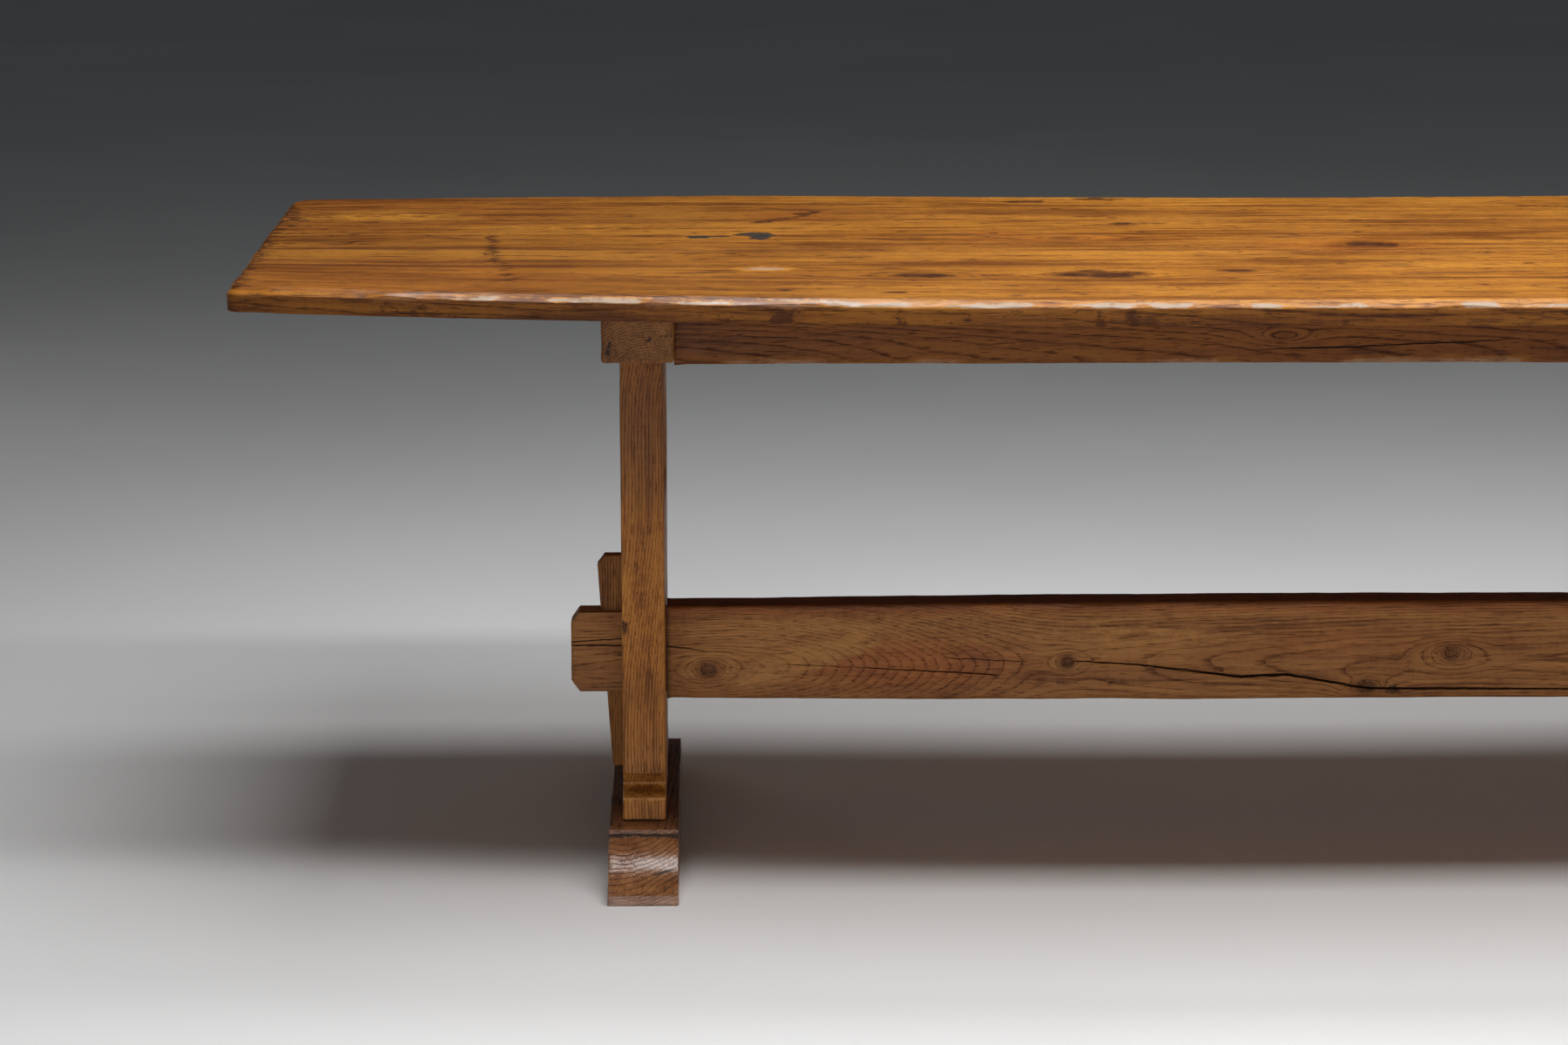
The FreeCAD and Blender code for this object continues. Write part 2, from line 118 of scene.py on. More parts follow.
def stroke(plane, line, width):
    """1 on a polyline, 0 from width outwards: smoothstep of the distance to its nearest part."""
    nearest = np.full(plane.shape[:-1], FAR)
    for start, end in zip(line[:-1], line[1:]):
        start, end = np.array(start, float), np.array(end, float)
        run = end - start
        share = np.clip(((plane - start) @ run) / (run @ run), 0, 1)
        gap = np.linalg.norm(plane - start - share[..., None] * run, axis=-1)
        nearest = np.minimum(nearest, gap)
    return 1 - ease(0.0, width, nearest)


def spots(plane, table, gain=1.0):
    """The greatest of several ovals, each (centre, reach, strength), of strength up to 1."""
    return np.maximum.reduce([min(gain * force, 1) * spot(plane, centre, size)
                              for centre, size, force in table])


def strokes(plane, table):
    """The greatest of several lines, each (polyline, width, strength)."""
    return np.maximum.reduce([force * stroke(plane, line, width) for line, width, force in table])


def four(points, *values):
    """Four numbers for each point: the given values, one to a column, and zeros after them."""
    columns = values + (0.0,) * (4 - len(values))
    return np.column_stack([np.broadcast_to(value, len(points)) for value in columns])


# ---------------------------------------------------------------- reading the frame

def corners(node):
    """The vertices of a frame node as an array."""
    return np.array([v.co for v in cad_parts[node].data.vertices])


def reach(node, starts, axis, sign):
    """How far each ray from starts, along an axis, goes before it meets the frame node."""
    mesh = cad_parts[node].data
    tree = BVHTree.FromPolygons([v.co for v in mesh.vertices], [p.vertices for p in mesh.polygons])
    way = Vector([sign * (k == axis) for k in range(3)])
    hits = [tree.ray_cast(Vector(start), way)[3] for start in starts]
    found = np.array([np.nan if hit is None else hit for hit in hits])
    met = ~np.isnan(found)
    return np.interp(np.arange(len(found)), np.flatnonzero(met), found[met])


def line_of(node, stations, a, b, c, level, sign):
    """The node's outline b(a) at height level on axis c, seen from outside along sign * b."""
    low, high = corners(node)[:, a].min(), corners(node)[:, a].max()
    starts = np.zeros((len(stations), 3))
    starts[:, a] = np.clip(stations, low + HAIR, high - HAIR)
    starts[:, b] = -sign
    starts[:, c] = level
    return -sign + sign * reach(node, starts, b, sign)


def filled(values, step):
    """The values in order, with every gap wider than step divided evenly."""
    values = np.unique(np.round(values, 6))
    parts = [np.linspace(p, q, max(1, math.ceil((q - p) / step)), endpoint=False)
             for p, q in zip(values[:-1], values[1:])]
    return np.append(np.concatenate(parts), values[-1])


def apart(values, fixed, gap):
    """The fixed values, with those of the others that lie gap from them and from each other."""
    kept = []
    for value in np.unique(values):
        if np.abs(fixed - value).min() > gap and (not kept or value - kept[-1] > gap):
            kept.append(value)
    return np.concatenate([fixed, kept])


def rounded_ends(low, high, radius, step):
    """Stations from low to high, close together where an end is rounded to radius."""
    turn = radius * (1 - np.cos(np.linspace(0, math.pi / 2, 11)))
    inner = np.linspace(low + radius, high - radius, math.ceil((high - low - 2 * radius) / step))
    return np.unique(np.concatenate([low + turn, inner, high - turn]))


def corner_cut(stations, radius):
    """How much a corner of that radius takes off the width at each station, near both ends."""
    inside = np.minimum(stations - stations[0], stations[-1] - stations)
    lack = np.clip(radius - inside, 0, radius)
    return radius - np.sqrt(radius ** 2 - lack ** 2)


def profile(marks, lines, step, gap, fixed=()):
    """Stations along a piece and the lines read at them, doubled wherever a line steps at once.

    marks are the places of the frame's own corners. The ends, the fixed ones and those at a step
    are all kept, the others are thinned to lie gap apart, and the rest is filled in by step.
    """
    marks = np.unique(np.round(marks, 5))

    def jumps(places):
        """Where a line steps at once, and the lines' values just before and past each place."""
        sides = [[line(places + way * 3 * HAIR) for line in lines] for way in (-1, 1)]
        stepped = np.abs(np.subtract(*sides)).max(0) > 0.002
        stepped[[0, -1]] = False
        return stepped, sides
    kept = np.concatenate([marks[jumps(marks)[0]], marks[[0, -1]], fixed])
    stations = filled(apart(marks, kept, gap), step)
    stepped, (before, after) = jumps(stations)
    steps = np.flatnonzero(stepped)
    read = []
    for line, first, last in zip(lines, before, after):
        values = line(stations)
        values[steps] = first[steps]
        read.append(np.insert(values, steps + 1, last[steps]))
    return np.insert(stations, steps + 1, stations[steps] + HAIR), read


# ---------------------------------------------------------------- closed shells

def rim(i0, i1, j0, j1):
    """Grid places round a block of cells, in order: along i, along j, and back."""
    i, j = np.arange(i0, i1), np.arange(j0, j1)
    first = np.stack([i, np.full(len(i), j0)], 1)
    second = np.stack([np.full(len(j), i1), j], 1)
    third = np.stack([i[::-1] + 1, np.full(len(i), j1)], 1)
    fourth = np.stack([np.full(len(j), i0), j[::-1] + 1], 1)
    return np.concatenate([first, second, third, fourth])


def quads(ids, kept=None):
    """The four corners of each cell of a grid of vertex numbers, where kept says so."""
    cells = np.stack([ids[:-1, :-1], ids[1:, :-1], ids[1:, 1:], ids[:-1, 1:]], -1)
    return cells.reshape(-1, 4) if kept is None else cells[kept]


def outward(outline, window=0.003):
    """Unit normals of a closed outline that runs anticlockwise.

    Each is the chord from window behind the point to window past it, turned right, so that the
    normals turn evenly round a corner however close its points lie.
    """
    step = np.linalg.norm(np.roll(outline, -1, 0) - outline, axis=1)
    arc, length = np.cumsum(step) - step, step.sum()
    ahead, behind = [np.column_stack([np.interp(arc + way, arc, outline[:, k], period=length)
                                      for k in (0, 1)]) for way in (window, -window)]
    tangent = ahead - behind
    normal = np.stack([tangent[:, 1], -tangent[:, 0]], 1)
    return normal / np.maximum(np.linalg.norm(normal, axis=1), 1e-9)[:, None]


def spread(edge, shape):
    """A displacement given on the rim of a grid, carried inside it by transfinite blending."""
    field = np.zeros(shape + (2,))
    places = rim(0, shape[0] - 1, 0, shape[1] - 1)
    field[places[:, 0], places[:, 1]] = edge
    s = np.linspace(0, 1, shape[0])[:, None, None]
    t = np.linspace(0, 1, shape[1])[None, :, None]
    sides = (1 - s) * field[:1] + s * field[-1:] + (1 - t) * field[:, :1] + t * field[:, -1:]
    ends = (1 - s) * ((1 - t) * field[:1, :1] + t * field[:1, -1:])
    ends = ends + s * ((1 - t) * field[-1:, :1] + t * field[-1:, -1:])
    inside = sides - ends
    inside[places[:, 0], places[:, 1]] = edge
    return inside


def arris(size):
    """A round edge that is the same everywhere: the rim moves in and falls by size."""
    def edge(outline, normal):
        return -normal * size, np.full(len(outline), size), 1.0
    return edge


def uneven_arris(seed, size, swing, roundness=1.0):
    """An edge whose size swings about its mean along the rim, as hewn() says."""
    def edge(outline, normal):
        local = hewn(outline, seed, size, swing)
        return -normal * local[:, None], local, roundness
    return edge


def band(chain):
    """The faces between neighbouring rows of a closed chain of vertex numbers."""
    after = np.roll(chain, -1, axis=1)
    return np.stack([after[:-1], chain[:-1], chain[1:], after[1:]], -1).reshape(-1, 4)


def wall(outline, front, back, front_edge, back_edge, shares):
    """Rings of points down a wall, from the front face's rim to the back face's.

    Each edge is (move, drop, roundness): the rim moves in by move while it falls by drop,
    along a chamfer that swells towards a quarter ellipse as roundness goes from 0 to 1.
    shares place the rings between the two edges.
    """
    def edge_ring(edge, share):
        """The rim and its fall at a share of the way from the face's rim down to the wall."""
        move, drop, roundness = edge
        bend = share * math.pi / 2
        inset = (1 - roundness) * (1 - share) + roundness * (1 - math.sin(bend))
        fall = (1 - roundness) * share + roundness * (1 - math.cos(bend))
        return outline + move * inset, drop * fall
    rings = []
    for share in (0.25, 0.5, 0.75, 1.0):
        plane, fall = edge_ring(front_edge, share)
        rings.append(np.column_stack([plane, front - fall]))
    top, bottom = front - front_edge[1], back + back_edge[1]
    for share in shares:
        rings.append(np.column_stack([outline, top + (bottom - top) * share]))
    for share in (1.0, 0.66, 0.33):
        plane, rise = edge_ring(back_edge, share)
        rings.append(np.column_stack([plane, back + rise]))
    return np.array(rings)


HOLE_ARRIS = 0.001                  # rounding round a hole that goes through a piece


def slab(face, front, back, front_edge, back_edge, shares, holes=(), pockets=()):
    """A closed shell over a grid face (I, J, 2), from its front depth to its back depth.

    front and back are the depths and shares place the rings down the wall: each is a number, or
    an array over the face where it follows a line of its own. The edges are functions of the
    rim's points and normals that give a wall's edges. holes are blocks (i0, i1, j0, j1) of cells
    that go right through. pockets are (block, depth): cells sunk into the back as far as depth.
    """
    size = face.shape[:2]
    front, back = (np.broadcast_to(depth, size) for depth in (front, back))
    ids = np.arange(size[0] * size[1]).reshape(size)
    kept_front = np.ones((size[0] - 1, size[1] - 1), bool)
    for i0, i1, j0, j1 in holes:
        kept_front[i0:i1, j0:j1] = False
    kept_back = kept_front.copy()
    for (i0, i1, j0, j1), depth in pockets:
        kept_back[i0:i1, j0:j1] = False
    front_face, back_face = face.copy(), face.copy()
    count = 2 * ids.size
    points, faces = [], [quads(ids, kept_front), quads(ids + ids.size, kept_back)[:, ::-1]]
    outer = rim(0, size[0] - 1, 0, size[1] - 1)
    loops = [(outer, False)] + [(rim(*block)[::-1], True) for block in holes]
    for loop, is_hole in loops:
        at = (loop[:, 0], loop[:, 1])
        outline = face[at]
        normal = outward(outline)
        if is_hole:
            front_rim = back_rim = arris(HOLE_ARRIS)(outline, normal)
        else:
            front_rim, back_rim = front_edge(outline, normal), back_edge(outline, normal)
        rings = wall(outline, front[at], back[at], front_rim, back_rim,
                     [np.broadcast_to(share, size)[at] for share in shares])
        for sheet, (move, _, _) in ((front_face, front_rim), (back_face, back_rim)):
            if is_hole:
                sheet[at] = outline + move
            else:
                sheet += spread(move, size)
        numbers = count + np.arange(rings.shape[0] * rings.shape[1]).reshape(rings.shape[:2])
        chain = np.vstack([ids[at], numbers, ids[at] + ids.size])
        faces.append(band(chain))
        points.append(rings.reshape(-1, 3))
        count += numbers.size
    for block, depth in pockets:
        i0, i1, j0, j1 = block
        floor = back_face[i0:i1 + 1, j0:j1 + 1] = face[i0:i1 + 1, j0:j1 + 1]
        floor = np.concatenate([floor, np.full(floor.shape[:2] + (1,), depth)], -1)
        numbers = count + np.arange(floor.shape[0] * floor.shape[1]).reshape(floor.shape[:2])
        loop = rim(*block)
        inner = rim(0, i1 - i0, 0, j1 - j0)
        chain = np.vstack([ids[loop[:, 0], loop[:, 1]] + ids.size,
                           numbers[inner[:, 0], inner[:, 1]]])
        faces.append(band(chain))
        faces.append(quads(numbers)[:, ::-1])
        points.append(floor.reshape(-1, 3))
        count += numbers.size
    sheets = [np.concatenate([front_face, front[..., None]], -1).reshape(-1, 3),
              np.concatenate([back_face, back[..., None]], -1).reshape(-1, 3)]
    return np.concatenate(sheets + points), np.concatenate(faces)


def placed(shell, axes):
    """A shell whose first, second and third coordinates go on the given axes of the table."""
    points, faces = shell
    moved = np.empty_like(points)
    moved[:, list(axes)] = points
    return moved, faces


def joined(*shells):
    """Several shells as one."""
    points, faces, count = [], [], 0
    for part_points, part_faces in shells:
        points.append(part_points)
        faces.append(part_faces + count)
        count += len(part_points)
    return np.concatenate(points), np.concatenate(faces)


def facing_out(shell):
    """The shell with its faces turned outwards: the sum of its cells' signed volumes is above 0."""
    points, faces = shell
    a, b, c, d = (points[faces[:, k]] for k in range(4))
    volume = np.einsum("ij,ij->", a, np.cross(b, c)) + np.einsum("ij,ij->", a, np.cross(c, d))
    return (points, faces) if volume > 0 else (points, faces[:, ::-1])


def point_normals(shell):
    """Each point's normal: the sum of its faces' normals, which are their diagonals' product."""
    points, faces = shell
    a, b, c, d = (points[faces[:, k]] for k in range(4))
    face_normal = np.cross(c - a, d - b)
    normal = np.zeros_like(points)
    for k in range(4):
        np.add.at(normal, faces[:, k], face_normal)
    return normal / np.maximum(np.linalg.norm(normal, axis=1), 1e-12)[:, None]


def weathered(shell, depth, cell, seed, worn=None):
    """The shell sunk along its normals by 0 to depth, as smooth noise says, times worn(points)."""
    shell = facing_out(shell)
    points, faces = shell
    amount = depth * (0.5 + 0.5 * rough(points, cell, seed))
    if worn is not None:
        amount = amount * worn(points)
    return points - point_normals(shell) * amount[:, None], faces


# ---------------------------------------------------------------- pieces of wood

class Log:
    """How a piece lay in its tree: the axis that its grain follows and where the pith runs.

    pith is the pith's place on the two other axes, and drift how far it moves on them for each
    metre along the grain. shift starts each log elsewhere in the noise. bend(points) is how far
    the grain sways along the first of those axes.
    """

    def __init__(self, along, pith, drift=(0.0, 0.0), shift=0.0, bend=None):
        self.along = along
        self.others = [k for k in (X, Y, Z) if k != along]
        self.pith, self.drift, self.shift, self.bend = pith, drift, shift, bend

    def grain(self, points):
        """Place in the log: distance along the grain, and two distances from the pith."""
        length = points[:, self.along]
        sides = [points[:, k] - p - d * length
                 for k, p, d in zip(self.others, self.pith, self.drift)]
        if self.bend is not None:
            sides[0] = sides[0] - self.bend(points)
        return np.column_stack([length + self.shift] + sides)


LONE = 99.0                         # knot radii to the next knot where there is only one


def knot_places(plane, knots):
    """For each point, its nearest knot: place in knot radii, how alone the knot is, strength."""
    if not knots:
        return four(plane, FAR, FAR)
    table = np.array(knots, float)
    local = (plane[:, None] - table[None, :, :2]) / table[None, :, 2:4]
    radius = np.linalg.norm(local, axis=2)
    order = np.argsort(radius, axis=1)
    rows = np.arange(len(plane))
    first = order[:, 0]
    nearest = radius[rows, first]
    second = radius[rows, order[:, 1]] if len(knots) > 1 else np.full(len(plane), LONE)
    alone = np.clip(3 * (second - nearest) / np.maximum(second, 1e-6), 0, 1)
    return np.column_stack([local[rows, first], alone, table[first, 4]])


def bent_round(grain, plane, knots, across):
    """Grain that flows round each knot, across the grain by v / (u^2 + v^2), and swells at it."""
    for a, b, length, width, _ in knots:
        u, v = (plane[:, 0] - a) / (length * 1.6), (plane[:, 1] - b) / width
        radius2 = u * u + v * v
        fade = 1 - ease(2.0, 16.0, radius2)
        grain[:, across] -= fade * width * v / (radius2 + 0.5)
        grain[:, 3 - across] -= fade * width * 1.1 / (radius2 + 0.7)
    return grain


SHARP_TURN = math.radians(38)       # edges that turn more than this stay sharp


def wooden(node, shell, log, slot, plane, knots=(), stain=None, crack=None, body="table"):
    """The oak piece of a node: the shell as a mesh with its grain, knots, stains, cracks, and painted
    shade and highlights.
    """
    name = node + "_oak"
    points, faces = facing_out(shell)
    points = np.clip(points, *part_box(node))
    mesh = bpy.data.meshes.new(name)
    mesh.from_pydata(points.tolist(), [], faces.tolist())
    flat = points[:, list(plane)]
    grain = log.grain(points)
    if knots:
        across = 1 + log.others.index(plane[1]) if plane[1] in log.others else 1
        grain = bent_round(grain, flat, knots, across)
    layers = {"knot": knot_places(flat, knots),
              "stain": stain(points) if stain else four(points),
              "crack": crack(points) if crack else four(points, FAR)}
    mesh.attributes.new("grain", "FLOAT_VECTOR", "POINT").data.foreach_set("vector", grain.ravel())
    for key, values in layers.items():
        layer = mesh.attributes.new(key, "FLOAT_COLOR", "POINT")
        layer.data.foreach_set("color", np.ascontiguousarray(values, np.float32).ravel())
    mesh.polygons.foreach_set("use_smooth", np.ones(len(faces), bool))
    mesh.set_sharp_from_angle(angle=SHARP_TURN)
    mesh.update()
    piece = bpy.data.objects.new(name, mesh)
    bpy.context.scene.collection.objects.link(piece)
    piece.data.materials.append(finish(slot))
    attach(piece, body)
    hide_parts(node)


def laid(stations, across):
    """Plane points: each station with its row of places across the piece."""
    return np.stack([np.broadcast_to(stations[:, None], across.shape), across], -1)


def grid(stations, low, high, across):
    """The plane points low + (high - low) * across at each station."""
    return laid(stations, low[:, None] + (high - low)[:, None] * np.asarray(across)[None, :])


def across_of(count, margin):
    """Shares from 0 to 1, with one close to each end so that a worn edge has points."""
    return np.concatenate([[0, margin], np.linspace(2 * margin, 1 - 2 * margin, count),
                           [1 - margin, 1]])


TENON_ARRIS = 0.0008


def block_shell(low, high):
    """A plain tenon: a closed shell of a few cells between two corners."""
    a = np.linspace(low[0], high[0], 4)
    face = grid(a, np.full(4, low[1]), np.full(4, high[1]), (0, 0.33, 0.67, 1))
    edge = arris(TENON_ARRIS)
    return slab(face, high[Z], low[Z], edge, edge, (0.5,))


# ---------------------------------------------------------------- top boards

TOP = "top_board_"
top_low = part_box(TOP + "front")[0]
top_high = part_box(TOP + "rear")[1]
END_X = top_high[X]
TOP_Z, UNDER_Z = top_high[Z], top_low[Z]

# (x, y, reach along, reach across, strength) of each knot in the top
TOP_KNOTS = (
    (-0.506, -0.268, 0.026, 0.015, 0.9), (-0.333, -0.262, 0.020, 0.014, 1.0),
    (-0.290, -0.272, 0.024, 0.016, 1.0), (-0.312, -0.233, 0.012, 0.009, 0.8),
    (-0.262, -0.252, 0.012, 0.010, 0.7), (-0.137, -0.233, 0.017, 0.011, 0.9),
    (-0.319, 0.042, 0.019, 0.014, 0.45), (0.044, -0.014, 0.022, 0.020, 0.85),
    (0.063, 0.198, 0.010, 0.008, 0.8), (0.056, -0.189, 0.012, 0.010, 0.35),
    (-0.225, 0.173, 0.022, 0.008, 0.55), (-0.241, 0.229, 0.005, 0.004, 0.9),
    (-0.556, -0.058, 0.014, 0.009, 0.6), (0.052, 0.092, 0.007, 0.006, 0.7),
    (0.418, 0.262, 0.019, 0.013, 0.8), (0.590, -0.305, 0.024, 0.014, 0.9),
    (0.742, 0.055, 0.018, 0.014, 0.5), (0.905, -0.168, 0.015, 0.011, 0.85),
    (1.062, 0.312, 0.014, 0.010, 0.7), (1.108, -0.262, 0.009, 0.008, 0.6),
)
SEAM_ARRIS, SEAM_GAP, LOWER_ARRIS = 0.0006, 0.00015, 0.0012
# (x, reach along, strength) of the bark knots in the top's front face
FRONT_FACE_KNOTS = ((-0.672, 0.030, 1.0), (-0.539, 0.010, 0.55), (-0.469, 0.008, 0.5),
                    (-0.320, 0.008, 0.8), (-0.280, 0.011, 0.9), (0.512, 0.020, 0.9),
                    (0.874, 0.010, 0.7))

# Torn dark lines in the top: (polyline, width, strength)
TOP_STROKES = (
    (((-0.690, 0.196), (-0.648, 0.232), (-0.622, 0.290)), 0.026, 0.8),
    (((-1.021, 0.075), (-1.008, -0.158)), 0.018, 0.66),
    (((-1.000, -0.145), (-0.983, -0.289)), 0.018, 0.55),
    (((-1.050, -0.160), (-0.990, -0.158)), 0.014, 0.40),
    (((-1.000, -0.296), (-0.968, -0.298)), 0.014, 0.40),
    (((-1.300, 0.260), (-1.270, 0.222)), 0.020, 0.8),
    (((-1.300, 0.180), (-1.262, 0.166)), 0.018, 0.8),
    (((-1.306, 0.360), (-1.302, -0.420)), 0.036, 0.85),
    (((-1.290, 0.100), (-1.180, 0.085)), 0.014, 0.55),
    (((-1.292, 0.010), (-1.060, 0.022)), 0.012, 0.50),
    (((-0.360, -0.380), (-0.335, -0.402), (-0.330, -0.425)), 0.012, 0.7),
    (((0.060, -0.150), (0.082, -0.182), (0.050, -0.205)), 0.007, 0.45),
    (((0.690, -0.020), (0.700, -0.170)), 0.005, 0.5),
)
# Torn dark ovals in the top: (centre, reach, strength), the strength times DARK_GAIN
TOP_SPOTS = (
    ((-0.725, -0.089), (0.020, 0.012), 0.7), ((-0.400, 0.092), (0.014, 0.008), 0.6),
    ((-0.306, 0.319), (0.020, 0.010), 0.5), ((-0.344, 0.386), (0.042, 0.018), 0.8),
    ((-0.244, 0.410), (0.050, 0.022), 0.75), ((-1.193, 0.011), (0.050, 0.022), 0.55),
    ((-0.544, -0.395), (0.026, 0.010), 0.7), ((-0.669, -0.377), (0.020, 0.008), 0.75),
    ((-0.506, -0.262), (0.060, 0.030), 0.5), ((-0.300, -0.262), (0.085, 0.045), 0.45),
    ((-0.690, -0.215), (0.040, 0.016), 0.55), ((-0.640, -0.330), (0.060, 0.012), 0.4),
    ((0.050, -0.020), (0.045, 0.050), 0.5), ((-0.225, 0.173), (0.045, 0.018), 0.6),
    ((0.330, 0.330), (0.060, 0.016), 0.6), ((0.600, -0.300), (0.060, 0.026), 0.5),
    ((0.930, -0.170), (0.040, 0.018), 0.5), ((0.260, -0.360), (0.050, 0.014), 0.55),
    ((1.190, 0.060), (0.060, 0.030), 0.45),
)
DARK_GAIN = 1.35
# Filled holes, reddened places and rubbed places of the top: (centre, reach, strength)
TOP_FILLED = (
    ((-0.769, 0.064), (0.022, 0.026), 1.0), ((-0.738, 0.066), (0.036, 0.010), 0.7),
    ((-0.697, 0.082), (0.036, 0.030), 1.0), ((-0.692, 0.060), (0.020, 0.034), 1.0),
    ((0.822, -0.058), (0.018, 0.010), 0.8),
)
TOP_REDDENED = (
    ((-1.150, 0.300), (0.420, 0.300), 0.40), ((-0.400, 0.092), (0.060, 0.035), 0.55),
    ((-1.150, -0.300), (0.420, 0.240), 0.45), ((0.020, -0.020), (0.160, 0.080), 0.50),
    ((-0.640, 0.250), (0.110, 0.070), 0.50), ((-0.320, 0.042), (0.200, 0.060), 0.35),
)
TOP_RUBBED = (
    ((-0.690, -0.210), (0.070, 0.034), 0.74), ((-1.170, 0.254), (0.150, 0.060), 0.60),
    ((-0.900, 0.140), (0.200, 0.060), 0.40), ((0.980, 0.190), (0.120, 0.050), 0.45),
)
# Strengths of the top's marks: shade and bark on its front face, age of its left end, bare wood and
# painted glare on the chamfer
FACE_SHADE, FACE_BARK, LEFT_AGE, CHAMFER_BARE_AND_GLARE = 0.76, 0.95, 0.30, 0.94
BARK_DEPTH, BARK_REACH, BARK_LEAN = 0.021, 0.018, 0.4   # of the bark knots, under the top
PATCH_CELL = (0.034, 0.016, 0.010)                      # of the chamfer's patches of bare wood and painted glare


def top_stains_and_glare(points):
    """The top's stain and painted glare: torn marks, filler or shade, bare wood and painted glare or
    reddened wood, gloss or dullness.
    """
    plane = points[:, :2]
    x, z = points[:, X], points[:, Z]
    on_top = ease(TOP_Z - 0.004, TOP_Z - 0.002, z)
    on_face = ease(TOP_Z - 0.0085, TOP_Z - 0.0105, z) * outer_face(points)
    chamfer = (outer_face(points) - on_face).clip(0)

    bark = np.maximum.reduce([
        force * spot(points[:, [X, Z]], (place, TOP_Z - BARK_DEPTH), (along, BARK_REACH), BARK_LEAN)
        for place, along, force in FRONT_FACE_KNOTS])
    torn = np.maximum(strokes(plane, TOP_STROKES), spots(plane, TOP_SPOTS, DARK_GAIN))
    dark = torn * on_top + FACE_BARK * on_face * bark * (points[:, Y] < 0)

    filled_in = spots(plane, TOP_FILLED)
    aged = LEFT_AGE * ease(-0.20, -0.95, x)
    filled_in = np.where(filled_in > 0.02, filled_in, -aged) * on_top - FACE_SHADE * on_face

    rubbed_and_lit, reddened = spots(plane, TOP_RUBBED), spots(plane, TOP_REDDENED)
    # pale patches along the chamfer: bare wood, and a painted glare along the worn edge
    patches = ease(-0.60, 0.25, rough(points, PATCH_CELL, 27))
    bare_and_lit = CHAMFER_BARE_AND_GLARE * patches * chamfer * ease(1.25, 0.95, np.abs(x))
    rubbed_and_lit = np.where(rubbed_and_lit > 0.05, rubbed_and_lit, -reddened) * on_top + bare_and_lit

    polish = ease(1.30, 1.10, np.abs(x)) * (1 - 0.8 * ease(-0.75, -0.35, x))
    return four(points, dark, filled_in, rubbed_and_lit, chamfer * polish - on_face)


HEWN_CELLS = 0.085, 0.022           # the two scales of a hewn edge's swing


def hewn(plane, seed, size, swing):
    """A hewn edge's size along the edge: its mean and two scales of smooth noise."""
    flat = np.column_stack([plane, np.zeros(len(plane))])
    slow, quick = [rough(flat, cell, seed + k) for k, cell in enumerate(HEWN_CELLS)]
    return size * (1 + swing * slow + 0.75 * swing * quick)


def top_edge(seams):
    """The chamfer of the top's outer edges, and the small arris along the seams."""
    def edge(outline, normal):
        x, y = outline.T
        to_end = END_X - np.abs(x)
        run = hewn(outline, 11, sizes().chamfer_run, 0.26)
        drop = hewn(outline, 17, sizes().chamfer_drop, 0.26)
        at_seam = np.zeros(len(outline), bool)
        for seam in seams:
            at_seam |= np.abs(y - np.interp(x, top_stations, seam)) < HAIR
        slide = -np.sign(x) * run * (1 - ease(0.0, 0.06, to_end))
        seam_move = np.column_stack([slide, -np.sign(normal[:, 1]) * SEAM_ARRIS])
        move = np.where(at_seam[:, None], seam_move, -normal * run[:, None])
        seam_drop = np.where(to_end < HAIR, drop, SEAM_ARRIS + drop * np.clip(1 - to_end / run, 0, 1))
        return move, np.where(at_seam, seam_drop, drop), 0.25
    return edge


def worn_top(face):
    """Depth of the top's surface: nearly flat, with shallow hollows from planing and use."""
    flat = np.concatenate([face, np.zeros(face.shape[:2] + (1,))], -1)
    long_wave = 0.5 + 0.5 * rough(flat, (0.40, 0.09, 1), 5)
    short_wave = 0.5 + 0.5 * rough(flat, (0.07, 0.025, 1), 6)
    return TOP_Z - sizes().top_hollows * (long_wave + 0.4 * short_wave)


def board(place, low, high, seams, log):
    """One board of the top, between two lines low(x) and high(x)."""
    face = grid(top_stations, low, high, across_of(56, 0.006))
    shell = slab(face, worn_top(face), UNDER_Z + 0.0001, top_edge(seams), arris(LOWER_ARRIS),
                 (0.06, 0.12, 0.34, 0.56, 0.78))
    near = [k for k in TOP_KNOTS if low.min() - 0.03 < k[1] < high.max() + 0.03]
    shell = weathered(shell, 0.0006, (0.030, 0.030, 0.008), 21,
                      lambda p: outer_face(p) * (1 + 2.5 * ease(1.22, 1.29, np.abs(p[:, X]))))
    wooden(TOP + place, shell, log, "top_oak", (X, Y), near, top_stains_and_glare)


def outer_face(points):
    """1 on the outer edges of the top and 0 on its faces and seams."""
    x, y = points[:, X], points[:, Y]
    front = np.interp(x, top_stations, front_line)
    rear = np.interp(x, top_stations, rear_line)
    inside = np.minimum(np.minimum(y - front, rear - y), END_X - np.abs(x))
    return 1 - ease(0.002, 0.012, inside)


TOP_CORNER = 0.045                  # the part of each end where the front and rear lines turn


def read_lines():
    """The four lines of the top, from front to rear, at its stations along the table."""
    level = UNDER_Z + 0.002
    stations = rounded_ends(-END_X, END_X, TOP_CORNER, ROWS["top"][0])
    front = line_of(TOP + "front", stations, X, Y, Z, level, 1)
    first = line_of(TOP + "middle", stations, X, Y, Z, level, 1)
    second = line_of(TOP + "middle", stations, X, Y, Z, level, -1)
    rear = line_of(TOP + "rear", stations, X, Y, Z, level, -1)
    return stations, front, first, second, rear


top_stations, front_line, front_seam, rear_seam, rear_line = read_lines()


def along_edge(line):
    """Grain that follows an outer edge line: its sway fades over 0.3 m into the board."""
    def bend(points):
        edge = np.interp(points[:, X], top_stations, line)
        return (edge - line.mean()) * (1 - ease(0.0, 0.30, np.abs(points[:, Y] - edge)))
    return bend


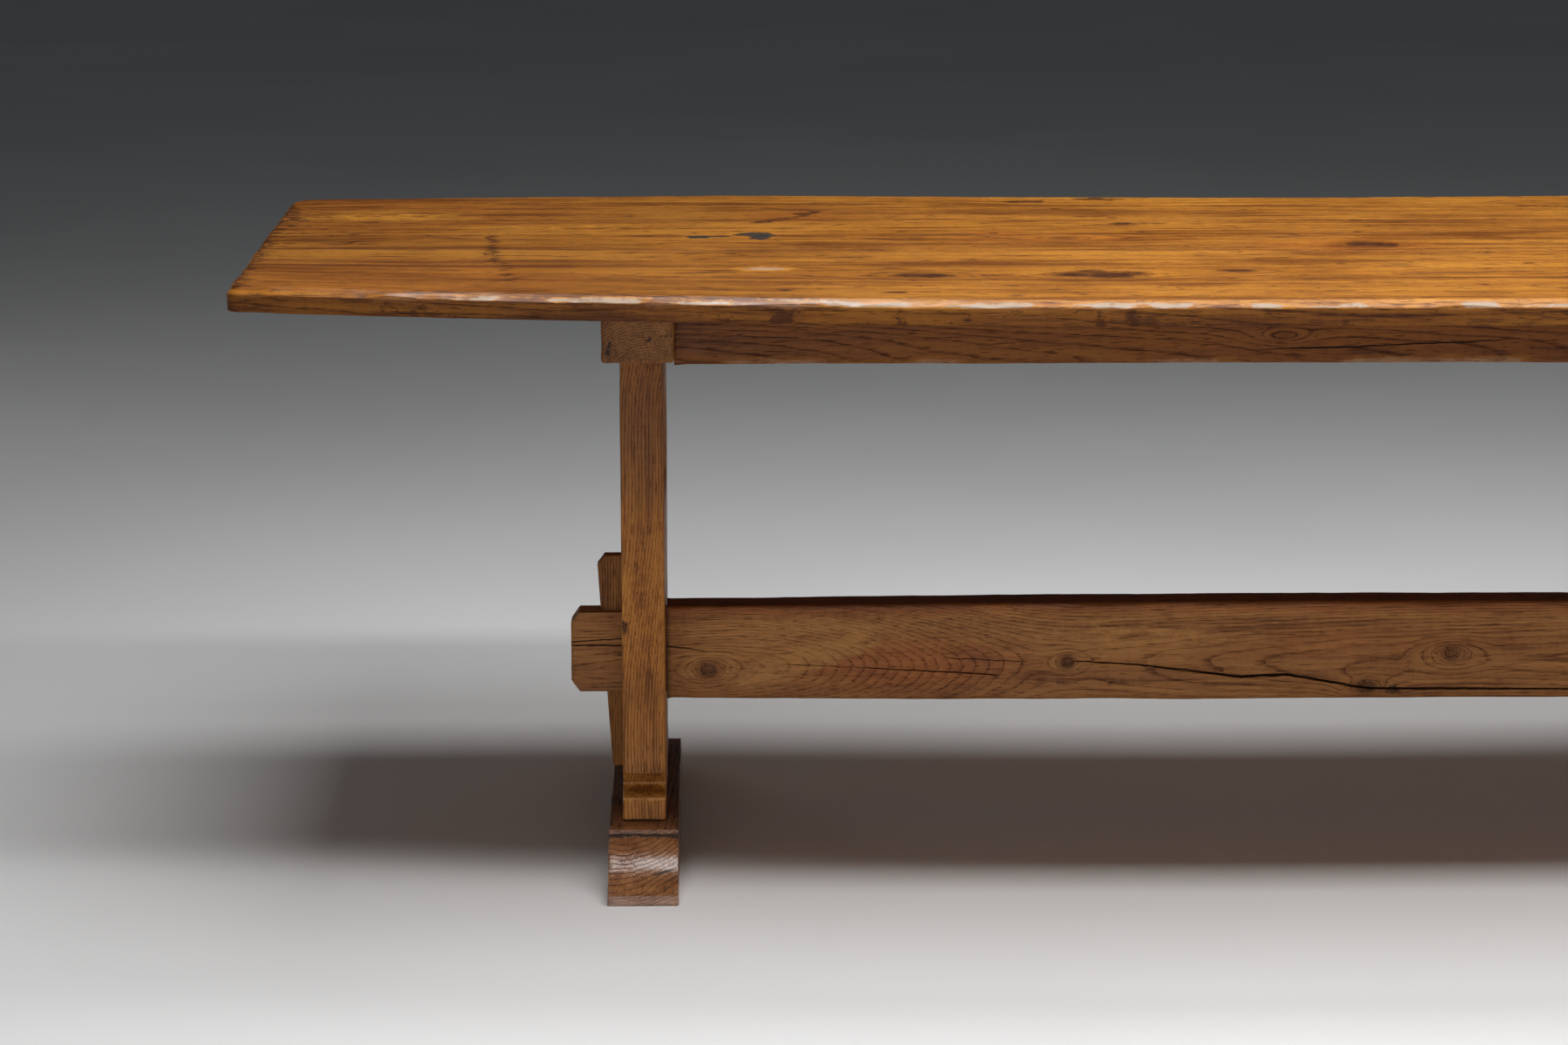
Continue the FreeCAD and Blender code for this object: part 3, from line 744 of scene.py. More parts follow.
def make_top():
    """The three boards, each from its own log."""
    logs = (Log(X, (-0.235, TOP_Z - 0.090), (0.004, -0.006), 0.3, along_edge(front_line)),
            Log(X, (0.065, TOP_Z - 0.140), (0.012, 0.014), 1.7),
            Log(X, (0.360, TOP_Z + 0.110), (-0.006, 0.006), 3.1, along_edge(rear_line)))
    board("front", front_line, front_seam - SEAM_GAP, (front_seam - SEAM_GAP,), logs[0])
    board("middle", front_seam, rear_seam, (front_seam, rear_seam), logs[1])
    board("rear", rear_seam + SEAM_GAP, rear_line, (rear_seam + SEAM_GAP,), logs[2])


# ---------------------------------------------------------------- rails and bearers

RAIL_ROWS = 330
RAIL_CLEAR = 0.0012                 # how far a rail's bar runs into the bearers
RAIL_HOLLOW = 0.0014                # how far its lower edge wavers


def make_rails():
    """The two rails under the top: straight bars with a worn lower edge and hidden tenons."""
    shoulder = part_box("left_bearer")[1][X]
    for node, knots, seed in (
            ("front_rail", ((-0.10, 0.694, 0.016, 0.007, 0.15),), 31),
            ("rear_rail", ((0.31, 0.690, 0.014, 0.008, 0.6),), 41)):
        low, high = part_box(node)
        stations = np.linspace(shoulder - RAIL_CLEAR, -shoulder + RAIL_CLEAR, RAIL_ROWS)
        flat = np.column_stack([stations, stations * 0, stations * 0])
        hollow = RAIL_HOLLOW * (0.5 + 0.5 * rough(flat, 0.11, seed))
        face = grid(stations, low[Z] + hollow, stations * 0 + high[Z] - 0.0001, across_of(12, 0.08))

        def edge(outline, normal):
            """A hewn lower edge and fine ones elsewhere, that fade out inside the bearers."""
            under = normal[:, 1] < -0.5
            whole = ease(0.0, 0.012, -shoulder - np.abs(outline[:, 0]))
            worn = hewn(outline, seed + 2, sizes().rail_arris, 0.35)
            size = 0.0004 + np.where(under, worn, 0.0005) * whole
            return -normal * size[:, None], size, 0.6
        bar = slab(face, high[Y], low[Y], edge, edge, np.linspace(0.1, 0.9, 6))
        bar = weathered(placed(bar, (X, Z, Y)), 0.0007, (0.09, 0.02, 0.012), seed,
                        lambda p: ease(0.0, 0.004, high[Z] - p[:, Z])
                        * ease(0.0, 0.012, -shoulder - np.abs(p[:, X])))
        tenons = corners(node)[np.abs(corners(node)[:, X]) > -shoulder + 0.01]
        parts = [bar]
        for side in (-1, 1):
            ends = tenons[np.sign(tenons[:, X]) == side]
            first, last = ends.min(0), ends.max(0)
            first[X], last[X] = sorted((side * -shoulder * 0.999, side * high[X]))
            parts.append(block_shell(first, last))
        log = Log(X, ((low[Y] + high[Y]) / 2 + 0.075, 0.668), (0.030, 0.012), 0.9 + low[Y])
        wooden(node, joined(*map(facing_out, parts)), log, "rail_oak", (X, Z), knots,
               rail_marks, rail_splits)


def rail_marks(points):
    """The rails' pale lower edges, in patches: worn wood, and a painted highlight along the rounded
    edge.
    """
    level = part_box("front_rail")[0][Z]
    # the pale lower edge is part wear and part a painted highlight
    worn = 0.68 * ease(0.0130, 0.0080, points[:, Z] - level)
    worn = worn * ease(-0.8, 0.1, rough(points, (0.07, 1, 1), 35))
    return four(points, 0.0, 0.0, worn)


def rail_splits(points):
    """Height above the split in a rail's face, and the split's half width there."""
    x, z = points[:, X], points[:, Z]
    line = np.interp(x, (-0.20, -0.05, 0.12, 0.20), (0.6755, 0.6790, 0.6860, 0.6910))
    width = 0.0011 * ease(-0.16, -0.06, x) * (1 - ease(0.10, 0.19, x))
    return four(points, z - line, width)


def groups(values, gap=0.02):
    """The middles of the clusters of values that lie further than gap apart."""
    values = np.sort(values)
    parts = np.split(values, np.flatnonzero(np.diff(values) > gap) + 1)
    return [(part[0] + part[-1]) / 2 for part in parts]


SCREW_HOLE = 0.0066                 # radius of the screw holes in the bearers
BEARER_CORNER = 0.0055              # radius of the bearers' corners as seen from below


def make_bearers():
    """The two bearers: bars with rounded corners, and screw holes sunk into their undersides."""
    offsets = SCREW_HOLE * np.linspace(-1, 1, 5)
    for side, salt in SIDES.items():
        node = side + "_bearer"
        low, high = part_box(node)
        middle = (low[X] + high[X]) / 2
        screws = corners(node + "_screws")
        seat = screws[:, Z].min() + 0.004
        places = groups(screws[:, Y])
        cuts = [rounded_ends(low[Y], high[Y], BEARER_CORNER, 1.0)]
        cuts += [place + offsets for place in places]
        stations = filled(np.concatenate(cuts), ROWS["bearer"][0])
        half = (high[X] - low[X]) / 2 - corner_cut(stations, BEARER_CORNER)
        outer = np.linspace(0.36, 0.90, 5)
        shares = np.concatenate([[-1], -outer[::-1], offsets / half.max(), outer, [1]])
        face = laid(stations, middle + half[:, None] * shares[None, :])
        first = 1 + len(outer)
        pockets = []
        for place in places:
            start = int(np.argmin(np.abs(stations - (place - SCREW_HOLE))))
            face[start:start + 5, first:first + 5] = disc(place, middle, SCREW_HOLE)
            pockets.append(((start, start + 4, first, first + 4), seat))
        shell = slab(face, high[Z] - 0.0001, low[Z] + 0.0002, arris(0.0012),
                     arris(sizes().bearer_arris), np.linspace(0.06, 0.94, 11), (), pockets)
        shell = weathered(placed(shell, (Y, X, Z)), 0.0012, (0.022, 0.06, 0.016),
                          51 + salt, lambda p: ease(0.0, 0.004, high[Z] - p[:, Z]))
        log = Log(Y, (middle + 0.016, low[Z] - 0.022), (0.02, 0.03), 0.2 * salt)
        wooden(node, shell, log, "bearer_oak", (X, Z), (), bearer_marks)


def disc(a, b, radius):
    """Five by five points of a square carried to a disc: each ring keeps its share of the radius."""
    u, v = np.meshgrid(*[np.linspace(-1, 1, 5)] * 2, indexing="ij")
    square = np.maximum(np.abs(u), np.abs(v))
    scale = square / np.maximum(np.hypot(u, v), 1e-9)
    return np.stack([a + radius * u * scale, b + radius * v * scale], -1)


# Dark specks and worm holes in a bearer's ends: (centre, reach, strength), across and up
BEARER_HOLES = (
    ((0.034, 0.679), (0.006, 0.006), 1.0), ((0.033, 0.687), (0.004, 0.007), 1.0),
    ((-0.014, 0.696), (0.005, 0.003), 1.0), ((-0.034, 0.700), (0.010, 0.003), 1.0),
    ((0.019, 0.718), (0.005, 0.005), 1.0), ((-0.003, 0.718), (0.004, 0.004), 1.0),
)


def across_trestle(points):
    """Places on a trestle's front: distance outwards from its middle, and height."""
    return np.column_stack([np.abs(points[:, X]) - TRESTLE_X, points[:, Z]])


def bearer_marks(points):
    """Dark specks and small worm holes on the ends of the bearers."""
    at_end = ease(0.385, 0.398, np.abs(points[:, Y] - TRESTLE_Y))
    return four(points, spots(across_trestle(points), BEARER_HOLES) * at_end)


# ---------------------------------------------------------------- trestles

NECK = 0.05                         # half width of the grid's core at the upper end of an upright


def make_uprights():
    """The two pierced planks: a shaped outline, an arched opening and a mortise right through."""
    for side, salt in SIDES.items():
        node = side + "_upright"
        low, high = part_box(node)
        middle = (low[X] + high[X]) / 2
        bearer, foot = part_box(side + "_bearer")[0][Z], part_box(side + "_foot")[1][Z]
        bottom, top = foot + 0.0002, bearer - 0.0002
        ends = opening_ends(node, middle, foot)
        marks = corners(node)[:, Z]
        marks = marks[(marks > foot) & (marks < bearer)]
        step, gap = ROWS["upright"]
        rows = filled(apart(marks, np.array([bottom, *ends, top]), gap), step)
        outer = TRESTLE_Y - line_of(node, rows, Z, Y, X, middle, 1)
        inner, holes = opening_sides(node, middle, rows, ends)
        wing, core = np.linspace(0, 1, 13), np.linspace(-1, 1, 9)[1:-1]
        left = -outer[:, None] + (outer - inner)[:, None] * wing[None, :]
        across = TRESTLE_Y + np.hstack([left, inner[:, None] * core[None, :], -left[:, ::-1]])
        face = laid(rows, across)
        blocks = [hole + (len(wing) - 1, len(wing) + len(core)) for hole in holes]
        rounded = uneven_arris(61 + salt, sizes().plank_arris, 0.3)
        shell = slab(face, high[X], low[X], rounded, rounded, np.linspace(0.08, 0.92, 8), blocks)
        shell = weathered(placed(shell, (Z, Y, X)), sizes().wear, (0.03, 0.03, 0.07), 63,
                          lambda p: ease(0.0, 0.004, np.minimum(p[:, Z] - bottom, top - p[:, Z])))
        parts = [shell] + stub_tenons(node, bottom, top)
        log = Log(Z, (middle + 0.230, TRESTLE_Y + 0.020), (0.006, 0.012), 2.1 + 0.3 * salt)
        wooden(node, joined(*map(facing_out, parts)), log, "upright_oak", (Y, Z), (),
               upright_marks, upright_seat_shadows)


def opening_ends(node, middle, foot):
    """Heights where an upright's mortise and then its arch begin and end, as a ray finds them."""
    ends = []
    start = np.array([[middle, TRESTLE_Y, foot + 0.001]])
    for _ in range(4):
        gone = reach(node, start, Z, 1)[0]
        ends.append(start[0, Z] + gone)
        start = start + [[0, 0, gone + 0.0005]]
    return ends


def opening_sides(node, middle, rows, ends):
    """Half the width of an upright's openings at each row, and the first and last row of each.

    Between the openings the half width runs straight from one to the other, and above the arch
    it runs to NECK, so that the grid's columns pass smoothly from end to end.
    """
    sides, holes = np.empty(len(rows)), []
    for low, high in (ends[:2], ends[2:]):
        first, last = (int(np.argmin(np.abs(rows - end))) for end in (low, high))
        inside = np.clip(rows[first:last + 1], low + 4 * HAIR, high - 4 * HAIR)
        starts = np.column_stack([inside * 0 + middle, inside * 0 + TRESTLE_Y, inside])
        sides[first:last + 1] = reach(node, starts, Y, -1)
        holes.append((first, last))
    (first, mortise_top), (arch, last) = holes
    between = slice(mortise_top, arch + 1)
    sides[:first] = sides[first]
    sides[between] = np.interp(rows[between], rows[[mortise_top, arch]], sides[[mortise_top, arch]])
    sides[last:] = np.interp(rows[last:], rows[[last, -1]], (sides[last], NECK))
    return sides, holes


def stub_tenons(node, bottom, top):
    """The upright's four stub tenons: two below bottom, in the foot, and two above top."""
    points, low, high = corners(node), *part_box(node)
    shells = []
    for tip, start, end in ((low[Z], low[Z], bottom), (high[Z], top, high[Z])):
        at_tip = points[np.abs(points[:, Z] - tip) < 0.001]
        for part in (at_tip[at_tip[:, Y] < TRESTLE_Y], at_tip[at_tip[:, Y] > TRESTLE_Y]):
            shells.append(block_shell((*part[:, :2].min(0), start), (*part[:, :2].max(0), end)))
    return shells


COVE = (0.0940, 0.1045)             # heights of the arrises on either side of the cove, where painted highlight lines lie
UPRIGHT_KNOTS = (((0.023, 0.300), (0.006, 0.016), 1.0), ((-0.022, 0.300), (0.004, 0.006), 0.7))
SEAM_SHADOW = 0.0022                # half width of the painted shadow line where an upright stands


def upright_marks(points):
    """Knots on the front edges of the uprights, painted shade on their upper ends under the top and
    in the coves, and painted highlight lines on the coves' edges.
    """
    local, height = across_trestle(points), points[:, Z]
    at_front = ease(0.08, 0.12, np.abs(points[:, Y] - TRESTLE_Y))
    cove_low, cove_high = COVE
    # hollow: painted shade in the cove, between its two arrises
    hollow = ease(cove_low, cove_low + 0.003, height) * (
        0.70 * ease(cove_high, cove_high - 0.004, height)
        + 0.30 * ease(cove_high + 0.020, cove_high, height))
    # shade: a darker patch at the stretcher's height, painted shade towards the upper end under the
    # top, and the cove's painted shade
    shade = np.maximum.reduce([0.20 * spot(local, (0.0, 0.216), (0.09, 0.030)),
                               0.74 * ease(0.34, 0.60, height), 0.50 * hollow])
    # lit: painted highlight lines along the cove's two arrises
    lit = 0.75 * spots(local, [((0.0, level), (0.30, 0.0040), 1.0) for level in COVE])
    return four(points, spots(local, UPRIGHT_KNOTS) * at_front, -shade * at_front, lit * at_front)


def upright_seat_shadows(points):
    """The painted shadow line where an upright stands on its foot: height above it, and its half
    width.
    """
    return four(points, points[:, Z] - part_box("left_foot")[1][Z], SEAM_SHADOW)


TOE_ROUNDING = 0.0035               # of the upper edge at the tip of each toe


def make_feet():
    """The two sledge feet: a block with a moulded toe at each end."""
    for side, salt in SIDES.items():
        node = side + "_foot"
        low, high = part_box(node)
        middle = (low[X] + high[X]) / 2
        marks = corners(node)[:, Y]
        marks = marks[np.abs(marks - TRESTLE_Y) > 0.19]
        top_line = partial(line_of, node, a=Y, b=Z, c=X, level=middle + 0.03, sign=-1)
        stations, (tops,) = profile(marks, [top_line], *ROWS["foot"])
        tops -= 0.8 * corner_cut(stations, TOE_ROUNDING)
        face = grid(stations, stations * 0 + low[Z] + 0.0003, tops, across_of(9, 0.07))
        rounded = uneven_arris(71 + salt, sizes().foot_arris, 0.35)
        shell = slab(face, high[X], low[X], rounded, rounded, np.linspace(0.07, 0.93, 11))
        shell = weathered(placed(shell, (Y, Z, X)), sizes().wear, (0.025, 0.03, 0.012), 73,
                          lambda p: ease(0.001, 0.006, p[:, Z] - low[Z])
                          * ease(0.0, 0.004, np.abs(p[:, Y] - TRESTLE_Y) - 0.178))
        log = Log(Y, (middle - 0.020, high[Z] + 0.120), (0.02, -0.02), 1.1 + 0.3 * salt)
        wooden(node, shell, log, "foot_oak", (X, Z), (), foot_marks, foot_split_and_quirk_shadow)


QUIRK = 0.0598                      # height of the groove across the toes, where a painted shadow line lies
TOE_LIGHT = (0.0165, 0.0600)        # heights of the painted highlight lines across the toes


def foot_marks(points):
    """Torn dark marks and painted shade on the feet's upper face, a small pale spot, and the painted
    highlight lines and gloss of the toes.
    """
    local = across_trestle(points)
    outer = np.abs(points[:, Y] - TRESTLE_Y)
    # dark: torn dark marks, and as much painted shade, on the upper face under the top
    dark = 0.38 * (1 - ease(0.19, 0.22, outer))
    pale = 0.40 * spot(local, (-0.018, 0.022), (0.006, 0.004)) * ease(0.29, 0.30, outer)
    # lit: painted highlight lines across the toes
    lit = 0.45 * spots(local, [((0.0, level), (0.30, 0.004), 1.0) for level in TOE_LIGHT])
    lit = lit * ease(0.20, 0.21, outer)
    return four(points, dark, -dark, np.maximum(pale, lit), 0.8 * ease(0.21, 0.225, outer))


def foot_split_and_quirk_shadow(points):
    """The short split in the toes' end grain, and a painted shadow line in the quirk under the
    plinth's edge.
    """
    x, z = across_trestle(points).T
    outer = np.abs(points[:, Y] - TRESTLE_Y)
    line = np.interp(x, (-0.038, -0.028, -0.014, 0.000), (0.032, 0.030, 0.027, 0.026))
    width = 0.0012 * ease(-0.037, -0.032, x) * (1 - ease(-0.018, -0.008, x))
    return four(points, z - line, width * ease(0.24, 0.26, outer), z - QUIRK,
                0.0009 * ease(0.17, 0.19, outer))


# ---------------------------------------------------------------- stretcher and wedges

# (x, z, reach along, reach across, strength) of each knot in the stretcher's face
STRETCHER_KNOTS = ((-0.758, 0.217, 0.011, 0.010, 0.75), (0.167, 0.233, 0.011, 0.009, 0.6),
                   (-0.311, 0.225, 0.008, 0.008, 0.95), (0.064, 0.192, 0.012, 0.009, 0.9),
                   (0.520, 0.262, 0.012, 0.010, 0.7), (0.690, 0.205, 0.009, 0.009, 0.8))


def split_line(x):
    """Height of the long split in the stretcher's front face."""
    return np.interp(x, (-0.68, -0.58, -0.486, -0.396, -0.302, -0.224, -0.124, -0.096, -0.036,
                         0.064, 0.314, 0.52, 0.80),
                     (0.2245, 0.220, 0.2145, 0.209, 0.2265, 0.2216, 0.209, 0.2055, 0.208,
                      0.190, 0.188, 0.200, 0.205))


def split_width(x):
    """Half width of the split: a fine one left of the plug knot, then a long one past it."""
    return np.interp(x, (-0.68, -0.65, -0.58, -0.486, -0.41, -0.385, -0.31, -0.295, -0.20, -0.08,
                         0.06, 0.30, 0.42, 0.50),
                     (0.0, 0.0004, 0.0004, 0.0008, 0.0007, 0.0, 0.0, 0.0008, 0.0012, 0.0020,
                      0.0016, 0.0011, 0.0006, 0.0))


WEDGE_TIP = 0.018                   # a wedge's width at its tip
SPLIT_DEPTH = 2.2                   # depth of the stretcher's split, in its half widths


def make_stretcher():
    """The stretcher: a bowed bar with through tenons, slots for the wedges and a long split."""
    node = "stretcher"
    low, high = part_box(node)
    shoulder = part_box("right_upright")[0][X]
    middle_y, middle_z = (low[Y] + high[Y]) / 2, (low[Z] + high[Z]) / 2
    wedge_low, wedge_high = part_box("right_wedge")
    in_slot = wedge_low[X] + 0.001
    slot_in, slot_out = (in_slot + way * reach(node, [(in_slot, middle_y, middle_z)], X, way)[0]
                         for way in (-1, 1))
    slope = (wedge_high[X] - wedge_low[X] - WEDGE_TIP) / (wedge_high[Z] - wedge_low[Z])
    marks = corners(node)[:, X]
    marks = marks[np.abs(marks) > shoulder - 0.002]
    lines = [partial(line_of, node, a=X, b=b, c=c, level=level, sign=sign)
             for b, c, level in ((Y, Z, middle_z), (Z, Y, middle_y + 0.016)) for sign in (1, -1)]
    stations, (front_y, back_y, under, over) = profile(
        marks, lines, *ROWS["stretcher"], (slot_in, slot_out, -slot_in, -slot_out))
    half = (wedge_high[Y] - wedge_low[Y]) / 2 + 0.0003
    wing, core = np.linspace(0, 1, 5), np.linspace(-1, 1, 5)[1:-1]
    across = np.hstack([front_y[:, None] + (middle_y - half - front_y)[:, None] * wing,
                        middle_y + half * np.ones((len(stations), 1)) * core,
                        middle_y + half + (back_y - middle_y - half)[:, None] * wing])
    face = laid(stations, across)
    blocks = []
    for slot in ((-slot_out, -slot_in), (slot_in, slot_out)):
        first, last = (int(np.argmin(np.abs(stations - end))) for end in slot)
        blocks.append((first, last, len(wing) - 1, len(wing) + len(core)))

    def edge(outline, normal):
        """Hewn edges along the bar, and fine ones round its tenons."""
        body = np.abs(outline[:, 0]) < shoulder - 0.003
        size = np.where(body, hewn(outline, 83, sizes().stretcher_arris, 0.4), 0.0012)
        return -normal * size[:, None], size, 0.7
    shell = slab(face, over[:, None], under[:, None], edge, edge,
                 split_rings(stations, over - 0.004, under + 0.004), blocks)
    points, faces = weathered(shell, sizes().wear, (0.09, 0.03, 0.022), 85)
    leaning = ease(0.0, 0.002, half + 0.001 - np.abs(points[:, Y] - middle_y))
    leaning = leaning * np.interp(np.abs(points[:, X]), (slot_in + 0.002, slot_out, high[X]),
                                  (0, 1, 0))
    points[:, X] += np.sign(points[:, X]) * leaning * slope * (points[:, Z] - middle_z)
    width = split_width(points[:, X])
    facing = points[:, Y] < np.interp(points[:, X], stations, front_y) + 0.0025
    groove = np.clip(1 - np.abs(points[:, Z] - split_line(points[:, X])) / (width + 1e-6), 0, 1)
    points[:, Y] += facing * groove * width * SPLIT_DEPTH
    log = Log(X, (middle_y - 0.096, middle_z - 0.014), (0.010, 0.006), 1.3,
              lambda p: -0.040 * ease(-0.74, -0.28, p[:, X]) + 0.030 * ease(0.30, 0.80, p[:, X]))
    wooden(node, (points, faces), log, "stretcher_oak", (X, Z), STRETCHER_KNOTS,
           stretcher_marks, stretcher_splits)


def split_rings(stations, top, bottom):
    """Shares down the wall for its rings: five close together along the split, the rest even."""
    margin = 0.08 * (top - bottom)
    centre = np.clip(split_line(stations), bottom + margin, top - margin)
    step = np.maximum(split_width(stations), 0.0009)
    heights = np.stack([centre + k * step for k in (2, 1, 0, -1, -2)])
    above = top + (heights[0] - top) * np.linspace(0.06, 0.94, 11)[:, None]
    below = heights[-1] + (bottom - heights[-1]) * np.linspace(0.06, 0.96, 9)[:, None]
    shares = (top - np.concatenate([above, heights, below])) / (top - bottom)
    return shares[:, :, None]


# Dark ovals and reddish figure of the stretcher's face: (centre, reach, strength)
STRETCHER_DARK = (
    ((-0.795, 0.250), (0.030, 0.006), 0.5), ((-0.300, 0.200), (0.100, 0.006), 0.45),
    ((0.080, 0.188), (0.060, 0.008), 0.5), ((-0.875, 0.238), (0.030, 0.006), 0.5),
)
STRETCHER_RED = (((-0.520, 0.222), (0.24, 0.052), 0.85), ((0.020, 0.250), (0.30, 0.030), 0.40))
GOLDEN_FLAME = ((-0.706, 0.204), (-0.560, 0.262))


def stretcher_marks(points):
    """Painted shade on the stretcher's dark top and at its shoulders, darkening towards its lower
    edge, its warm upper arris, and its reddish and golden figure.
    """
    x, z = points[:, X], points[:, Z]
    plane = points[:, [X, Z]]
    below = np.interp(x, (-0.81, 0, 0.81), (0.298, 0.302, 0.298)) - z
    below = below + 0.003 * rough(points, (0.05, 1, 1), 91)
    body = ease(0.83, 0.82, np.abs(x))
    dark = np.maximum(spots(plane, STRETCHER_DARK),
                      0.5 * stroke(plane, ((-0.577, 0.262), (-0.535, 0.266)), 0.003))
    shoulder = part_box("right_upright")[0][X]
    # shade: painted shade on the top face under the table top and in the corners at the shoulders,
    # and a darkening towards the lower edge
    shade = np.maximum.reduce([0.70 * body * ease(0.006, 0.002, below),
                               0.25 * ease(0.012, 0.002, z - 0.172),
                               0.90 * ease(0.0040, 0.0005, np.abs(np.abs(x) - shoulder))])
    red = np.maximum(0.70 * ease(0.016, 0.009, below) * body, spots(plane, STRETCHER_RED))
    golden = 0.63 * np.maximum(stroke(plane, GOLDEN_FLAME, 0.024),
                               0.8 * spot(plane, (-0.240, 0.258), (0.22, 0.030)))
    return four(points, dark, -shade, np.where(golden > 0.08, golden, -red))


def stretcher_splits(points):
    """Heights above the stretcher's splits and their half widths: the long one, or the one in a
    tenon's end, and then the nearest of the short ones."""
    x, z = points[:, X], points[:, Z]
    body = np.abs(x) < TRESTLE_X - 0.03
    line = np.where(body, split_line(x), np.interp(x, (-0.93, -0.865, 0.865, 0.93),
                                                   (0.252, 0.256, 0.236, 0.230)))
    width = np.where(body, split_width(x), 0.0009)
    second = z - np.interp(x, (-0.806, -0.758, -0.466, -0.355, 0.50, 0.62),
                           (0.2475, 0.241, 0.2314, 0.225, 0.262, 0.2585))
    second_width = (0.0011 * ease(-0.752, -0.790, x)
                    + 0.0006 * ease(-0.470, -0.450, x) * ease(-0.352, -0.375, x)
                    + 0.0011 * ease(0.50, 0.53, x) * ease(0.66, 0.60, x))
    return four(points, z - line, width, second, second_width)


def make_wedges():
    """The two loose wedges: tapered keys with their upper corners cut off."""
    for side, salt in SIDES.items():
        node = side + "_wedge"
        low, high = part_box(node)
        middle = (low[Y] + high[Y]) / 2
        sides = [partial(line_of, node, a=Z, b=X, c=Y, level=middle, sign=sign) for sign in (1, -1)]
        stations, (near, far) = profile(corners(node)[:, Z], sides, *ROWS["wedge"])
        face = grid(stations, near, far, across_of(4, 0.11))
        edge = uneven_arris(95 + salt, sizes().wedge_arris, 0.4, 0.8)
        shell = slab(face, high[Y], low[Y], edge, edge, (0.2, 0.4, 0.6, 0.8))
        shell = weathered(placed(shell, (Z, X, Y)), 0.0004, (0.02, 0.02, 0.05), 97 + salt)
        log = Log(Z, ((low[X] + high[X]) / 2 + 0.120, middle - 0.03), (0.01, 0.02),
                  0.4 + 0.4 * salt)
        wooden(node, shell, log, "wedge_oak", (X, Z), body=node)


# ---------------------------------------------------------------- finishes

class Wiring:
    """Shorthand for a node tree: each call adds a node, feeds its inputs and gives its output."""

    def __init__(self, tree):
        self.tree = tree

    def node(self, kind, **settings):
        """A new node with those settings."""
        made = self.tree.nodes.new(kind)
        for name, value in settings.items():
            setattr(made, name, value)
        return made

    def feed(self, socket, value):
        """Links another node's output to a socket, or gives the socket a value."""
        if isinstance(value, bpy.types.NodeSocket):
            self.tree.links.new(value, socket)
        else:
            socket.default_value = value

    def math(self, operation, *values, clamp=False):
        """The result of a Math node."""
        made = self.node("ShaderNodeMath", operation=operation, use_clamp=clamp)
        for socket, value in zip(made.inputs, values):
            self.feed(socket, value)
        return made.outputs[0]

    def times(self, first, second, plus=None, clamp=False):
        """The product of two numbers, to which a third may be added."""
        if plus is None:
            return self.math("MULTIPLY", first, second, clamp=clamp)
        return self.math("MULTIPLY_ADD", first, second, plus, clamp=clamp)

    def minus(self, first, second):
        """The first number less the second."""
        return self.math("SUBTRACT", first, second)

    def vector(self, operation, *values, output="Vector"):
        """The result of a Vector Math node."""
        made = self.node("ShaderNodeVectorMath", operation=operation)
        for socket, value in zip(made.inputs, values):
            self.feed(socket, value)
        return made.outputs[output]

    def split(self, value, kind="Color"):
        """The three parts of a colour or, as XYZ, of a vector."""
        made = self.node("ShaderNodeSeparate" + kind)
        self.feed(made.inputs[0], value)
        return made.outputs

    def point(self, *values):
        """A vector of up to three numbers. None leaves a part at 0."""
        made = self.node("ShaderNodeCombineXYZ")
        for socket, value in zip(made.inputs, values):
            if value is not None:
                self.feed(socket, value)
        return made.outputs[0]

    def length(self, vector):
        """The length of a vector."""
        return self.vector("LENGTH", vector, output="Value")

    def noise(self, place, stretch, detail=2.0, roughness=0.5):
        """Noise with stretch cells per metre along each axis."""
        made = self.node("ShaderNodeTexNoise", noise_dimensions="3D")
        self.feed(made.inputs["Vector"], self.vector("MULTIPLY", place, stretch))
        for name, value in (("Scale", 1.0), ("Detail", detail), ("Roughness", roughness)):
            made.inputs[name].default_value = value
        return made.outputs["Fac"]

    def ease(self, value, low, high, start=0.0, end=1.0):
        """A smoothstep from start to end as the value goes from low to high."""
        made = self.node("ShaderNodeMapRange", interpolation_type="SMOOTHSTEP")
        for socket, number in zip(made.inputs, (value, low, high, start, end)):
            self.feed(socket, number)
        return made.outputs["Result"]

    def mix(self, share, first, second, blend="MIX"):
        """The first colour, with a share of the second blended in."""
        made = self.node("ShaderNodeMix", data_type="RGBA", blend_type=blend)
        self.feed(made.inputs["Factor"], share)
        for socket, colour in zip((made.inputs[6], made.inputs[7]), (first, second)):
            self.feed(socket, colour if not isinstance(colour, tuple) else (*colour[:3], 1.0))
        return made.outputs[2]

    def attribute(self, name):
        """The outputs of an Attribute node, which reads what wooden() stored at the points."""
        return self.node("ShaderNodeAttribute", attribute_name=name).outputs

    def bump(self, height, strength, distance):
        """A normal that follows the height, at most distance metres high."""
        made = self.node("ShaderNodeBump")
        made.inputs["Strength"].default_value = strength
        made.inputs["Distance"].default_value = distance
        self.feed(made.inputs["Height"], height)
        return made.outputs["Normal"]


GROUP_COLOURS = ("Deep", "Body", "Light", "Stain")
GROUP_NUMBERS = ("Ring Spacing", "Ring Strength", "Pore Strength", "Streaks", "Blotches",
                 "Smears", "Base Roughness")


